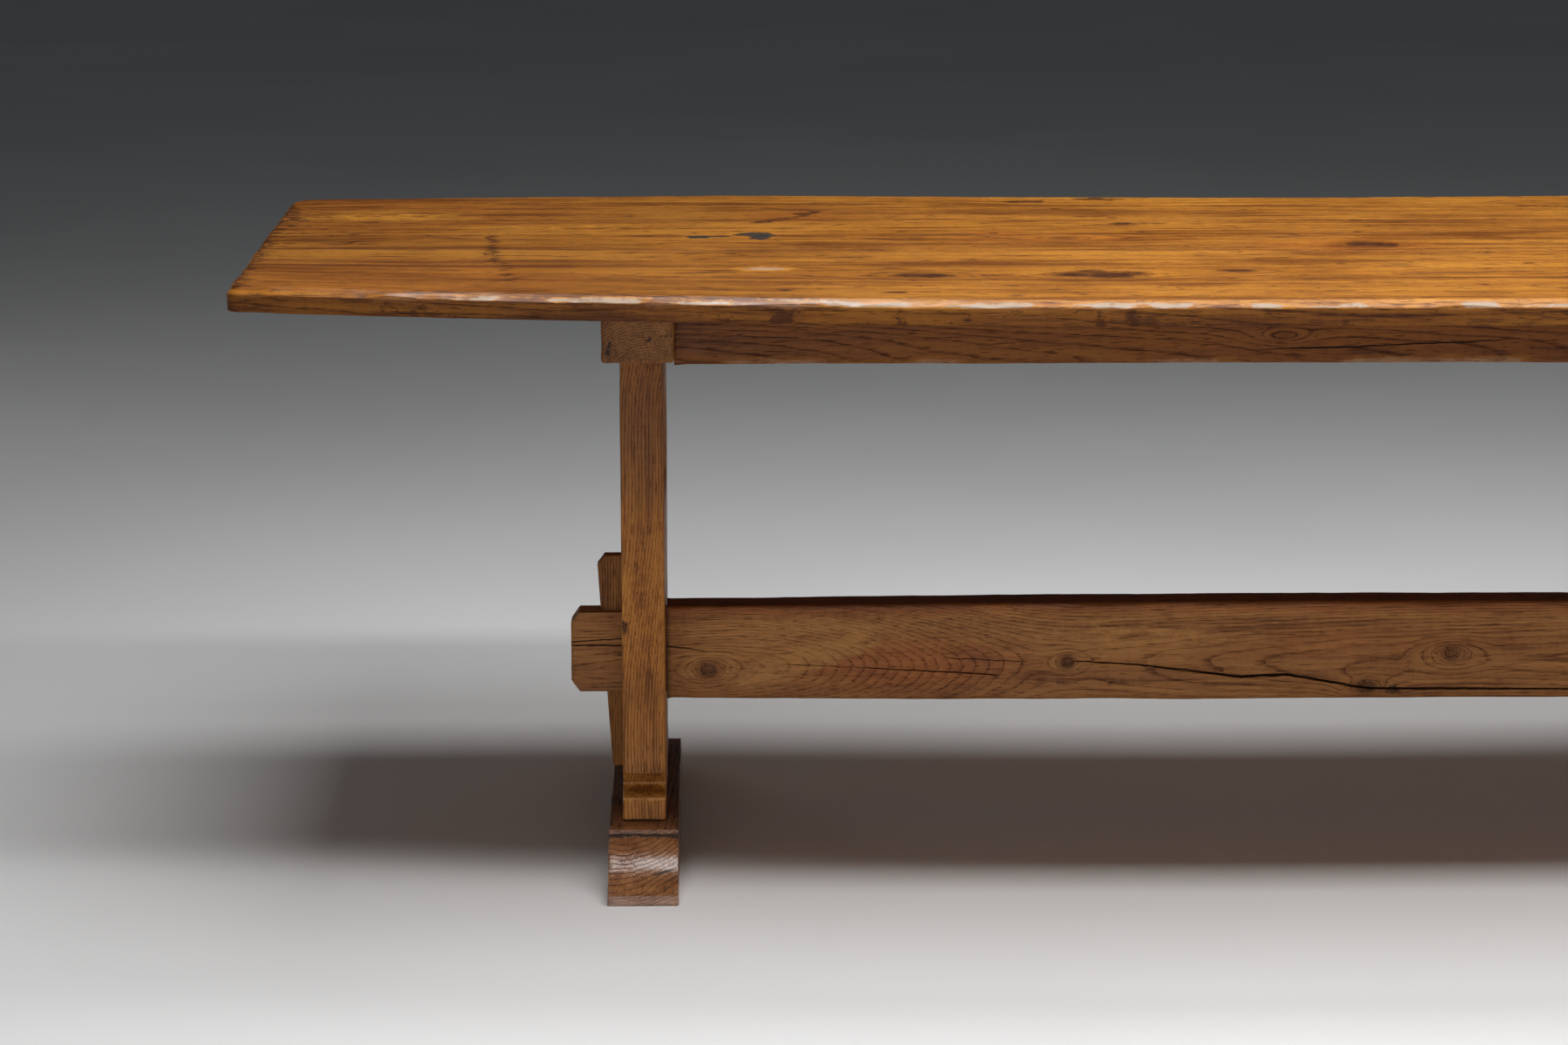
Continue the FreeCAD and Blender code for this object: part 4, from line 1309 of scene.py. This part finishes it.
def oak_group():
    """The node group that grows oak from a place in the log: rings, pores, rays, knots, stains,
    painted shade and highlights.
    """
    tree = bpy.data.node_groups.new("oak_wood", "ShaderNodeTree")
    for name in GROUP_COLOURS:
        tree.interface.new_socket(name, in_out="INPUT", socket_type="NodeSocketColor")
    for name in GROUP_NUMBERS:
        tree.interface.new_socket(name, in_out="INPUT", socket_type="NodeSocketFloat")
    for name, kind in (("Color", "Color"), ("Roughness", "Float"), ("Coat", "Float"),
                       ("Height", "Float")):
        tree.interface.new_socket(name, in_out="OUTPUT", socket_type="NodeSocket" + kind)
    w = Wiring(tree)
    given = w.node("NodeGroupInput").outputs
    result = w.node("NodeGroupOutput").inputs
    place = w.attribute("grain")["Vector"]
    spacing = given["Ring Spacing"]

    def grown(along, across, detail, roughness=0.5):
        """Noise with that many cells per metre along the grain and across it."""
        return w.noise(place, (along, across, across), detail, roughness)

    # rings: distance from the pith, made uneven by slow noise and set off by a knot's swelling
    slow = grown(1.1, 7.0, 2.0, 0.45)
    wander = grown(5.0, 40.0, 2.0, 0.5)
    parts = w.split(place, "XYZ")
    pith = w.length(w.point(None, parts[1], parts[2]))
    pith = w.times(slow, w.times(spacing, 7.0), pith)
    pith = w.times(wander, w.times(spacing, 1.1), pith)
    turn = w.math("DIVIDE", pith, spacing)
    ring = w.math("FRACT", turn)
    number = w.node("ShaderNodeTexWhiteNoise", noise_dimensions="1D")
    w.feed(number.inputs["W"], w.math("FLOOR", turn))
    early = w.minus(1.0, w.ease(ring, 0.03, 0.30))
    early = w.times(early, w.ease(ring, 0.0, 0.04))
    late = w.ease(ring, 0.45, 1.0)

    # fibres, pores, rays, and dark flecks that follow the grain
    fibre = grown(7.0, 260.0, 3.0, 0.62)
    streak = grown(2.0, 42.0, 5.0, 0.74)
    band = grown(0.7, 11.0, 1.0)
    blotch = grown(5.0, 9.0, 3.0, 0.6)
    vessel = grown(42.0, 780.0, 1.0, 0.5)
    fleck = grown(190.0, 60.0, 2.0, 0.6)
    smear = grown(9.0, 52.0, 5.0, 0.72)
    fading = grown(2.6, 18.0, 1.0)
    pore = w.ease(w.times(early, 0.13, vessel), 0.60, 0.72)
    dash = grown(24.0, 330.0, 2.0, 0.55)
    dash = w.ease(w.times(early, 0.10, dash), 0.63, 0.74)

    # tone from dark to light, about 0.5 on the whole
    tone = w.times(w.minus(fibre, 0.5), 0.75, 0.56)
    for value, number_name, weight in ((streak, "Streaks", 2.0), (band, "Streaks", 0.65),
                                       (blotch, "Blotches", 0.8)):
        tone = w.times(w.minus(value, 0.5), w.times(given[number_name], weight), tone)
    tone = w.times(w.minus(fleck, 0.5), 0.24, tone)
    tone = w.times(w.minus(number.outputs["Value"], 0.5), 0.12, tone)
    lines = w.times(late, 0.20, w.times(early, 0.50))
    lines = w.times(lines, w.ease(fading, 0.30, 0.62, 0.35, 1.0))
    tone = w.minus(tone, w.times(lines, given["Ring Strength"]))
    colour = w.mix(w.ease(tone, 0.06, 0.54), given["Deep"], given["Body"])
    colour = w.mix(w.ease(tone, 0.46, 0.96), colour, given["Light"])
    holes = w.times(w.math("MAXIMUM", pore, dash), given["Pore Strength"], clamp=True)
    colour = w.mix(holes, colour, given["Stain"])
    tick = grown(34.0, 74.0, 4.0, 0.68)
    smeared = w.math("MAXIMUM", w.times(w.ease(smear, 0.575, 0.68), 0.75),
                     w.times(w.ease(tick, 0.59, 0.67), 0.70))
    smeared = w.times(smeared, given["Smears"], clamp=True)
    colour = w.mix(smeared, colour, w.mix(0.55, given["Deep"], given["Stain"]))

    # knots: a dark eye with rings of its own and checks across it, and a dark halo round it
    knot = w.attribute("knot")
    u, v, alone = w.split(knot["Color"])
    radius = w.length(w.point(u, v))
    ragged = w.minus(grown(75.0, 150.0, 3.0, 0.6), 0.5)
    ragged = w.times(ragged, 1.6, radius)
    strength = w.times(knot["Alpha"], alone)
    core = w.times(w.ease(ragged, 1.15, 0.80), strength)
    halo = w.times(w.ease(ragged, 2.4, 0.9), w.times(strength, 0.42))
    whorl = w.math("SINE", w.times(ragged, 21.0))
    angle = w.math("ARCTAN2", v, u)
    check = w.noise(w.point(angle, radius), (2.6, 0.7, 1.0), 1.0)
    check = w.times(w.ease(check, 0.60, 0.68), core)
    colour = w.mix(halo, colour, w.mix(0.55, given["Deep"], given["Stain"]))
    eye_tone = w.times(whorl, 0.22, 0.62)
    colour = w.mix(w.times(core, eye_tone), colour, given["Stain"])
    colour = w.mix(check, colour, CHECK_BLACK)

    # the points' stain and painted light: torn dark marks; filler, or below 0 a darkening that on the
    # trestles and the stretcher is painted shade; pale rubbed wood and painted highlights, or below 0
    # reddening
    stain = w.attribute("stain")
    marked, filler_and_shade, rubbed_and_lit = w.split(stain["Color"])
    # a darkening multiplies by SHADE: painted shade on the trestles and the stretcher, and the top's
    # darker places
    colour = w.mix(w.times(filler_and_shade, -1.0, clamp=True), colour, SHADE, "MULTIPLY")
    colour = w.mix(w.times(rubbed_and_lit, -1.0, clamp=True), colour, REDDENED, "MULTIPLY")
    torn = grown(42.0, 64.0, 5.0, 0.70)
    torn = w.times(torn, 1.7, w.times(fibre, 0.7))
    torn = w.minus(torn, 1.20)
    dark = w.ease(w.times(torn, 2.3, marked), 0.38, 0.86)
    dark = w.times(dark, w.ease(marked, 0.0, 0.25))
    colour = w.mix(w.times(dark, 0.88), colour, given["Stain"])
    filler = w.ease(w.times(torn, 1.6, filler_and_shade), 0.40, 0.54)
    filler = w.times(filler, w.ease(filler_and_shade, 0.0, 0.15))
    colour = w.mix(w.times(filler, 0.95), colour, FILLER)
    # pale places: rubbed bare wood, and painted highlights and glare
    bare_and_lit = w.ease(w.times(torn, 1.2, rubbed_and_lit), 0.30, 0.85)
    bare_and_lit = w.times(bare_and_lit, w.ease(rubbed_and_lit, 0.0, 0.20))
    colour = w.mix(bare_and_lit, colour, w.mix(w.ease(rubbed_and_lit, 0.62, 0.80), given["Light"], RAW_WOOD_AND_GLARE))

    # splits, and painted shadow lines at the uprights' seats and the toes' quirks: black where the
    # shaken height above a split line is less than its half width
    split = w.attribute("crack")
    first, first_width, second = w.split(split["Color"])
    shake = w.minus(grown(60.0, 60.0, 3.0, 0.6), 0.5)
    shake = w.times(shake, 0.0034)
    opened = []
    for gap, width in ((first, first_width), (second, split["Alpha"])):
        away = w.math("ABSOLUTE", w.math("ADD", gap, shake))
        open_here = w.minus(1.0, w.math("DIVIDE", away, w.math("MAXIMUM", width, 1e-5)))
        opened.append(w.times(w.ease(open_here, 0.0, 0.5), w.ease(width, 1e-4, 3e-4)))
    crack = w.math("MAXIMUM", *opened)
    colour = w.mix(w.times(crack, 0.93), colour, CRACK_AND_SHADOW_BLACK)

    # height of the surface for the bump, and its roughness
    height = w.times(w.math("MAXIMUM", pore, dash), -0.45)
    for layer, weight in ((fibre, 0.55), (early, -0.45), (crack, -4.0), (check, -2.0), (core, 0.5)):
        height = w.times(layer, weight, height)
    matt = w.times(w.minus(blotch, 0.5), 0.22, given["Base Roughness"])
    for layer, weight in ((holes, 0.22), (crack, 0.4), (filler, 0.12)):
        matt = w.times(layer, weight, matt)
    for operation, weight in (("MAXIMUM", -0.10), ("MINIMUM", -0.45)):
        matt = w.times(w.math(operation, stain["Alpha"], 0.0), weight, matt)
    w.feed(result["Color"], colour)
    w.feed(result["Roughness"], w.math("MINIMUM", matt, 0.95))
    w.feed(result["Coat"], w.times(stain["Alpha"], w.ease(blotch, 0.32, 0.50), clamp=True))
    w.feed(result["Height"], height)
    return tree


# Colours of an oak beside its body colour, channel by channel, and those of its marks, painted shade
# and painted glare
DEEP_SHARE = (0.46, 0.37, 0.32)
LIGHT_SHARE = (1.34, 1.50, 1.60)
STAIN_SHARE = (0.13, 0.09, 0.12)
SHADE = (0.30, 0.25, 0.23)
REDDENED = (0.84, 0.60, 0.48)
FILLER = (0.022, 0.021, 0.018)
# bare wood, also the colour of the painted highlights and glare
RAW_WOOD_AND_GLARE = (0.43, 0.31, 0.22)
CHECK_BLACK = (0.010, 0.006, 0.004)
CRACK_AND_SHADOW_BLACK = (0.006, 0.004, 0.003)
RUST = (0.10, 0.045, 0.022)

# For each oak: the values of GROUP_NUMBERS in order, its gloss level and its bump's height
OAKS = {
    "top_oak": (0.0052, 0.60, 0.70, 1.35, 1.40, 1.15, 0.40, 0.32, 0.0006),
    "rail_oak": (0.0030, 0.85, 0.70, 0.8, 0.6, 0.20, 0.50, 0.18, 0.0007),
    "bearer_oak": (0.0034, 0.90, 0.70, 0.9, 1.4, 0.30, 0.50, 0.24, 0.0010),
    "upright_oak": (0.0032, 0.80, 0.60, 0.7, 0.4, 0.05, 0.44, 0.22, 0.0006),
    "foot_oak": (0.0042, 0.70, 0.70, 0.8, 1.0, 0.30, 0.34, 0.80, 0.0022),
    "stretcher_oak": (0.0019, 0.56, 0.60, 0.8, 0.8, 0.15, 0.46, 0.22, 0.0006),
    "wedge_oak": (0.0032, 0.90, 0.70, 0.9, 0.7, 0.10, 0.46, 0.22, 0.0006),
}
COAT_ROUGHNESS = 0.26


def tinted(body, share):
    """A colour times its shares, as a socket wants it."""
    return tuple(min(1.0, c * s) for c, s in zip(body, share)) + (1.0,)


def new_finish(name):
    """A new material, the wiring of its nodes and the inputs of its shader."""
    material = bpy.data.materials.new(name)
    material.use_nodes = True
    tree = material.node_tree
    return material, Wiring(tree), tree.nodes["Principled BSDF"].inputs


def oak_finish(slot):
    """The material of one oak finish: the oak group with that finish's colours and numbers."""
    *numbers, gloss_level, bump_height = OAKS[slot]
    body = tuple(getattr(bpy.context.scene.trestle_finish, slot))
    material, w, shader = new_finish(slot + "_finish")
    tree = bpy.data.node_groups.get("oak_wood") or oak_group()
    oak = w.node("ShaderNodeGroup", node_tree=tree)
    for name, share in zip(GROUP_COLOURS, (DEEP_SHARE, (1, 1, 1), LIGHT_SHARE, STAIN_SHARE)):
        oak.inputs[name].default_value = tinted(body, share)
    for name, value in zip(GROUP_NUMBERS, numbers):
        oak.inputs[name].default_value = value
    normal = w.bump(oak.outputs["Height"], 0.8, bump_height)
    w.feed(shader["Base Color"], oak.outputs["Color"])
    w.feed(shader["Roughness"], oak.outputs["Roughness"])
    w.feed(shader["Coat Weight"], oak.outputs["Coat"])
    w.feed(shader["Normal"], normal)
    w.feed(shader["Coat Roughness"], COAT_ROUGHNESS)
    w.feed(shader["Specular IOR Level"], gloss_level)
    return material


def peg_finish(name, stretch):
    """Oak for pegs and dowels on object coordinates: fibres run along the axis with low stretch."""
    body = tuple(bpy.context.scene.trestle_finish.peg_oak)
    material, w, shader = new_finish(name)
    place = w.node("ShaderNodeTexCoord").outputs["Object"]
    fibre = w.noise(place, stretch, 3.0, 0.6)
    pore = w.ease(w.noise(place, tuple(2.4 * s for s in stretch), 1.0), 0.60, 0.70)
    colour = w.mix(w.ease(fibre, 0.25, 0.75), tinted(body, DEEP_SHARE), tinted(body, LIGHT_SHARE))
    colour = w.mix(w.times(pore, 0.8), colour, tinted(body, STAIN_SHARE))
    normal = w.bump(fibre, 0.6, 0.0004)
    w.feed(shader["Base Color"], colour)
    w.feed(shader["Roughness"], w.ease(fibre, 0.2, 0.8, 0.62, 0.42))
    w.feed(shader["Normal"], normal)
    return material


def steel_finish():
    """Old steel screws: dull metal with turning marks and brown rust in patches."""
    material, w, shader = new_finish("screw_steel_finish")
    place = w.node("ShaderNodeTexCoord").outputs["Object"]
    patch = w.ease(w.noise(place, (180.0, 180.0, 180.0), 4.0, 0.6), 0.48, 0.62)
    turning = w.noise(place, (60.0, 60.0, 2400.0), 2.0)
    colour = w.mix(patch, tuple(bpy.context.scene.trestle_finish.screw_steel), RUST)
    normal = w.bump(turning, 0.5, 0.0002)
    w.feed(shader["Base Color"], colour)
    w.feed(shader["Metallic"], w.minus(1.0, patch))
    w.feed(shader["Roughness"], w.times(patch, 0.35, 0.38))
    w.feed(shader["Normal"], normal)
    return material


def finish(slot):
    """The finish of that slot, made the first time that it is asked for."""
    return bpy.data.materials.get(slot + "_finish") or oak_finish(slot)


def refinished(node, material):
    """A frame node that keeps its own shape and gets a finished material."""
    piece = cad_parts[node]
    piece.data.materials.clear()
    piece.data.materials.append(material)


# ---------------------------------------------------------------- studio

FLOOR_Z = -0.0006                   # the floor lies a hair below the feet
KEY_X, KEY_Z, KEY_LENGTH = 0.2, 2.65, 3.4
# The soft boxes overhead, which light the table along its length: (name, y, depth, power share)
KEYS = (("front", -1.19, 0.34, 0.47), ("middle", -0.55, 0.90, 0.21), ("rear", 0.37, 0.54, 0.31))


def make_studio():
    """A pale floor, three soft boxes overhead, a weak fill in front, two low ones behind, a grey
    surround and the camera."""
    studio = bpy.context.scene.trestle_studio
    floor_mesh = bpy.data.meshes.new("floor")
    half = studio.floor_size / 2
    floor_mesh.from_pydata([(x * half, y * half, FLOOR_Z)
                            for x, y in ((-1, -1), (1, -1), (1, 1), (-1, 1))],
                           [], [(0, 1, 2, 3)])
    floor = bpy.data.objects.new("floor", floor_mesh)
    bpy.context.scene.collection.objects.link(floor)
    paint, w, shader = new_finish("floor_paint")
    place = w.node("ShaderNodeTexCoord").outputs["Object"]
    cloudy = w.noise(place, (0.8, 0.8, 0.8), 3.0, 0.5)
    tone = tuple(studio.floor_colour)
    cloudy = w.mix(w.ease(cloudy, 0.3, 0.7), tone, tuple(0.94 * c for c in tone))
    w.feed(shader["Base Color"], cloudy)
    w.feed(shader["Roughness"], 0.85)
    w.feed(shader["Specular IOR Level"], 0.2)
    floor_mesh.materials.append(paint)

    world = bpy.data.worlds.new("surround")
    bpy.context.scene.world = world
    world.use_nodes = True
    back = world.node_tree.nodes["Background"].inputs
    sky = Wiring(world.node_tree)
    sky.feed(back["Color"], (*studio.surround_colour, 1.0))
    way = sky.split(sky.node("ShaderNodeTexCoord").outputs["Generated"], "XYZ")
    sky.feed(back["Strength"], sky.ease(way[2], 0.0, 0.9, studio.horizon_strength,
                                        studio.zenith_strength))

    for name, y, depth, share in KEYS:
        soft_box("key_" + name, (KEY_X, y, KEY_Z), (KEY_X, y, 0.0), (KEY_LENGTH, depth),
                 share * studio.key_power)
    soft_box("fill", (-0.9, -5.6, 0.70), (-0.4, 0.0, 0.45), (3.2, 1.2), studio.fill_power)
    for name, side in (("left_rear", -1), ("right_rear", 1)):
        soft_box(name, (side * 4.2, 2.6, 1.2), (0.0, 0.0, 0.45), (1.6, 1.2), studio.rear_power)

    camera = bpy.data.cameras.new("camera")
    camera.lens, camera.sensor_width = studio.lens, 36.0
    camera.clip_end = 200.0
    holder = bpy.data.objects.new("camera", camera)
    holder.location = studio.camera_place
    holder.rotation_euler = [math.radians(turn) for turn in studio.camera_turn]
    bpy.context.scene.collection.objects.link(holder)
    bpy.context.scene.camera = holder
    bpy.context.scene.view_settings.view_transform = "Standard"


def soft_box(name, place, target, size, power):
    """A rectangular area lamp that faces a target."""
    lamp = bpy.data.lights.new(name, "AREA")
    lamp.shape, lamp.size, lamp.size_y, lamp.energy = "RECTANGLE", size[0], size[1], power
    holder = bpy.data.objects.new(name, lamp)
    holder.location = place
    aim = Vector(target) - Vector(place)
    holder.rotation_euler = aim.to_track_quat("-Z", "Y").to_euler()
    holder.visible_camera = False
    bpy.context.scene.collection.objects.link(holder)


# ---------------------------------------------------------------- settings and operators

def colour_setting(name, default):
    """A colour that a user may change, in linear red, green and blue."""
    return FloatVectorProperty(name=name, description="Body colour of the " + name.lower(),
                               subtype="COLOR", size=3, default=default, min=0.0, max=1.0)


class TrestleFinish(bpy.types.PropertyGroup):
    """Body colours of the table's finishes."""
    top_oak: colour_setting("Top boards", (0.395, 0.142, 0.014))
    rail_oak: colour_setting("Rails", (0.155, 0.047, 0.005))
    bearer_oak: colour_setting("Bearers", (0.190, 0.071, 0.016))
    upright_oak: colour_setting("Uprights", (0.430, 0.160, 0.027))
    foot_oak: colour_setting("Feet", (0.300, 0.122, 0.046))
    stretcher_oak: colour_setting("Stretcher", (0.355, 0.142, 0.036))
    wedge_oak: colour_setting("Wedges", (0.275, 0.099, 0.017))
    peg_oak: colour_setting("Pegs and dowels", (0.200, 0.090, 0.032))
    screw_steel: colour_setting("Screws", (0.460, 0.450, 0.430))


def length_setting(name, default, description):
    """A small length that a user may change, in metres."""
    return FloatProperty(name=name, description=description, default=default, min=0.0, max=0.02,
                         precision=4, unit="LENGTH")


class TrestleSizes(bpy.types.PropertyGroup):
    """How far the table's edges and surfaces are worn."""
    chamfer_run: length_setting("Chamfer run", 0.0100, "Hewn chamfer of the top, measured inwards")
    chamfer_drop: length_setting("Chamfer drop", 0.0080, "Hewn chamfer of the top, measured down")
    top_hollows: length_setting("Top hollows", 0.0007, "Depth of the shallow hollows in the top")
    plank_arris: length_setting("Upright arris", 0.0026, "Rounding of the uprights' long edges")
    foot_arris: length_setting("Foot arris", 0.0020, "Rounding of the feet's edges")
    bearer_arris: length_setting("Bearer arris", 0.0046, "Rounding of the bearers' lower edges")
    rail_arris: length_setting("Rail arris", 0.0040, "Worn lower edges of the rails")
    stretcher_arris: length_setting("Stretcher arris", 0.0042, "Worn edges of the stretcher")
    wedge_arris: length_setting("Wedge arris", 0.0016, "Worn edges of the wedges")
    wear: length_setting("Wear", 0.0009, "How deep the hewn faces of the trestles are worn")


def sizes():
    """The sizes that the sidebar shows."""
    return bpy.context.scene.trestle_sizes


class TrestleStudio(bpy.types.PropertyGroup):
    """Floor, light and camera around the table."""
    floor_size: FloatProperty(name="Floor size", description="Side of the square floor",
                              default=60.0, min=4.0, unit="LENGTH")
    floor_colour: colour_setting("Floor", (0.86, 0.86, 0.86))
    surround_colour: colour_setting("Surround", (0.92, 0.96, 1.0))
    horizon_strength: FloatProperty(name="Horizon strength", default=0.015, min=0.0,
                                    description="Brightness of the surround at the horizon")
    zenith_strength: FloatProperty(name="Zenith strength", default=0.05, min=0.0,
                                   description="Brightness of the surround overhead")
    key_power: FloatProperty(name="Key power", default=108.0, min=0.0, unit="POWER",
                             description="Power of the three soft boxes over the table")
    fill_power: FloatProperty(name="Fill power", default=56.0, min=0.0, unit="POWER",
                              description="Power of the soft box behind the camera")
    rear_power: FloatProperty(name="Rear power", default=6.0, min=0.0, unit="POWER",
                              description="Power of each low soft box behind the table")
    lens: FloatProperty(name="Lens", default=96.0, min=1.0,
                        description="Focal length of the camera in millimetres")
    camera_place: FloatVectorProperty(name="Camera place", subtype="TRANSLATION", size=3,
                                      default=(-0.7536, -5.0570, 1.4652),
                                      description="Where the camera stands")
    camera_turn: FloatVectorProperty(name="Camera turn", size=3, default=(78.13, 0.0, -1.02),
                                     description="Turns of the camera about X, Y and Z in degrees")


class TrestleOperator:
    """What all the operators share."""
    bl_options = {"REGISTER", "UNDO"}


class TRESTLE_OT_studio(TrestleOperator, bpy.types.Operator):
    """Add the floor, the lamps and the camera"""
    bl_idname = "trestle.studio"
    bl_label = "Studio"

    def execute(self, context):
        make_studio()
        return {"FINISHED"}


class TRESTLE_OT_top(TrestleOperator, bpy.types.Operator):
    """Build the three boards of the top"""
    bl_idname = "trestle.top"
    bl_label = "Top boards"

    def execute(self, context):
        make_top()
        return {"FINISHED"}


class TRESTLE_OT_rails(TrestleOperator, bpy.types.Operator):
    """Build the two rails under the top"""
    bl_idname = "trestle.rails"
    bl_label = "Rails"

    def execute(self, context):
        make_rails()
        return {"FINISHED"}


class TRESTLE_OT_bearers(TrestleOperator, bpy.types.Operator):
    """Build the two bearers"""
    bl_idname = "trestle.bearers"
    bl_label = "Bearers"

    def execute(self, context):
        make_bearers()
        return {"FINISHED"}


class TRESTLE_OT_uprights(TrestleOperator, bpy.types.Operator):
    """Build the two pierced uprights"""
    bl_idname = "trestle.uprights"
    bl_label = "Uprights"

    def execute(self, context):
        make_uprights()
        return {"FINISHED"}


class TRESTLE_OT_feet(TrestleOperator, bpy.types.Operator):
    """Build the two feet"""
    bl_idname = "trestle.feet"
    bl_label = "Feet"

    def execute(self, context):
        make_feet()
        return {"FINISHED"}


class TRESTLE_OT_stretcher(TrestleOperator, bpy.types.Operator):
    """Build the stretcher"""
    bl_idname = "trestle.stretcher"
    bl_label = "Stretcher"

    def execute(self, context):
        make_stretcher()
        return {"FINISHED"}


class TRESTLE_OT_wedges(TrestleOperator, bpy.types.Operator):
    """Build the two wedges"""
    bl_idname = "trestle.wedges"
    bl_label = "Wedges"

    def execute(self, context):
        make_wedges()
        return {"FINISHED"}


class TRESTLE_OT_pins(TrestleOperator, bpy.types.Operator):
    """Finish the pegs, the dowels and the screws"""
    bl_idname = "trestle.pins"
    bl_label = "Pegs, dowels and screws"

    def execute(self, context):
        along_x = peg_finish("draw_peg_finish", (12.0, 420.0, 420.0))
        along_y = peg_finish("dowel_finish", (420.0, 12.0, 420.0))
        along_z = peg_finish("rail_peg_finish", (420.0, 420.0, 12.0))
        steel = steel_finish()
        for side in SIDES:
            refinished(side + "_bearer_pegs", along_x)
            refinished(side + "_foot_pegs", along_x)
            refinished(side + "_bearer_screws", steel)
        refinished("rail_pegs", along_z)
        refinished("top_board_dowels", along_y)
        return {"FINISHED"}


OPERATORS = (TRESTLE_OT_studio, TRESTLE_OT_top, TRESTLE_OT_rails, TRESTLE_OT_bearers,
             TRESTLE_OT_uprights, TRESTLE_OT_feet, TRESTLE_OT_stretcher, TRESTLE_OT_wedges,
             TRESTLE_OT_pins)


class TRESTLE_PT_panel(bpy.types.Panel):
    """Lists the operators, the finishes and the studio"""
    bl_label = "Trestle table"
    bl_idname = "TRESTLE_PT_panel"
    bl_space_type = "VIEW_3D"
    bl_region_type = "UI"
    bl_category = "Trestle"

    def draw(self, context):
        for operator in OPERATORS:
            self.layout.operator(operator.bl_idname)
        for settings in (sizes(), context.scene.trestle_finish, context.scene.trestle_studio):
            box = self.layout.box()
            for name in settings.__annotations__:
                box.prop(settings, name)


CLASSES = (TrestleSizes, TrestleFinish, TrestleStudio) + OPERATORS + (TRESTLE_PT_panel,)


def register():
    """Registers the classes and hangs the settings on the scene."""
    for cls in CLASSES:
        bpy.utils.register_class(cls)
    bpy.types.Scene.trestle_sizes = PointerProperty(type=TrestleSizes)
    bpy.types.Scene.trestle_finish = PointerProperty(type=TrestleFinish)
    bpy.types.Scene.trestle_studio = PointerProperty(type=TrestleStudio)


def unregister():
    """Takes away what register() added."""
    del bpy.types.Scene.trestle_studio
    del bpy.types.Scene.trestle_finish
    del bpy.types.Scene.trestle_sizes
    for cls in reversed(CLASSES):
        bpy.utils.unregister_class(cls)


def main():
    """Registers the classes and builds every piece."""
    register()
    for operator in OPERATORS:
        group, name = operator.bl_idname.split(".")
        getattr(getattr(bpy.ops, group), name)()


if __name__ == "__main__":
    main()
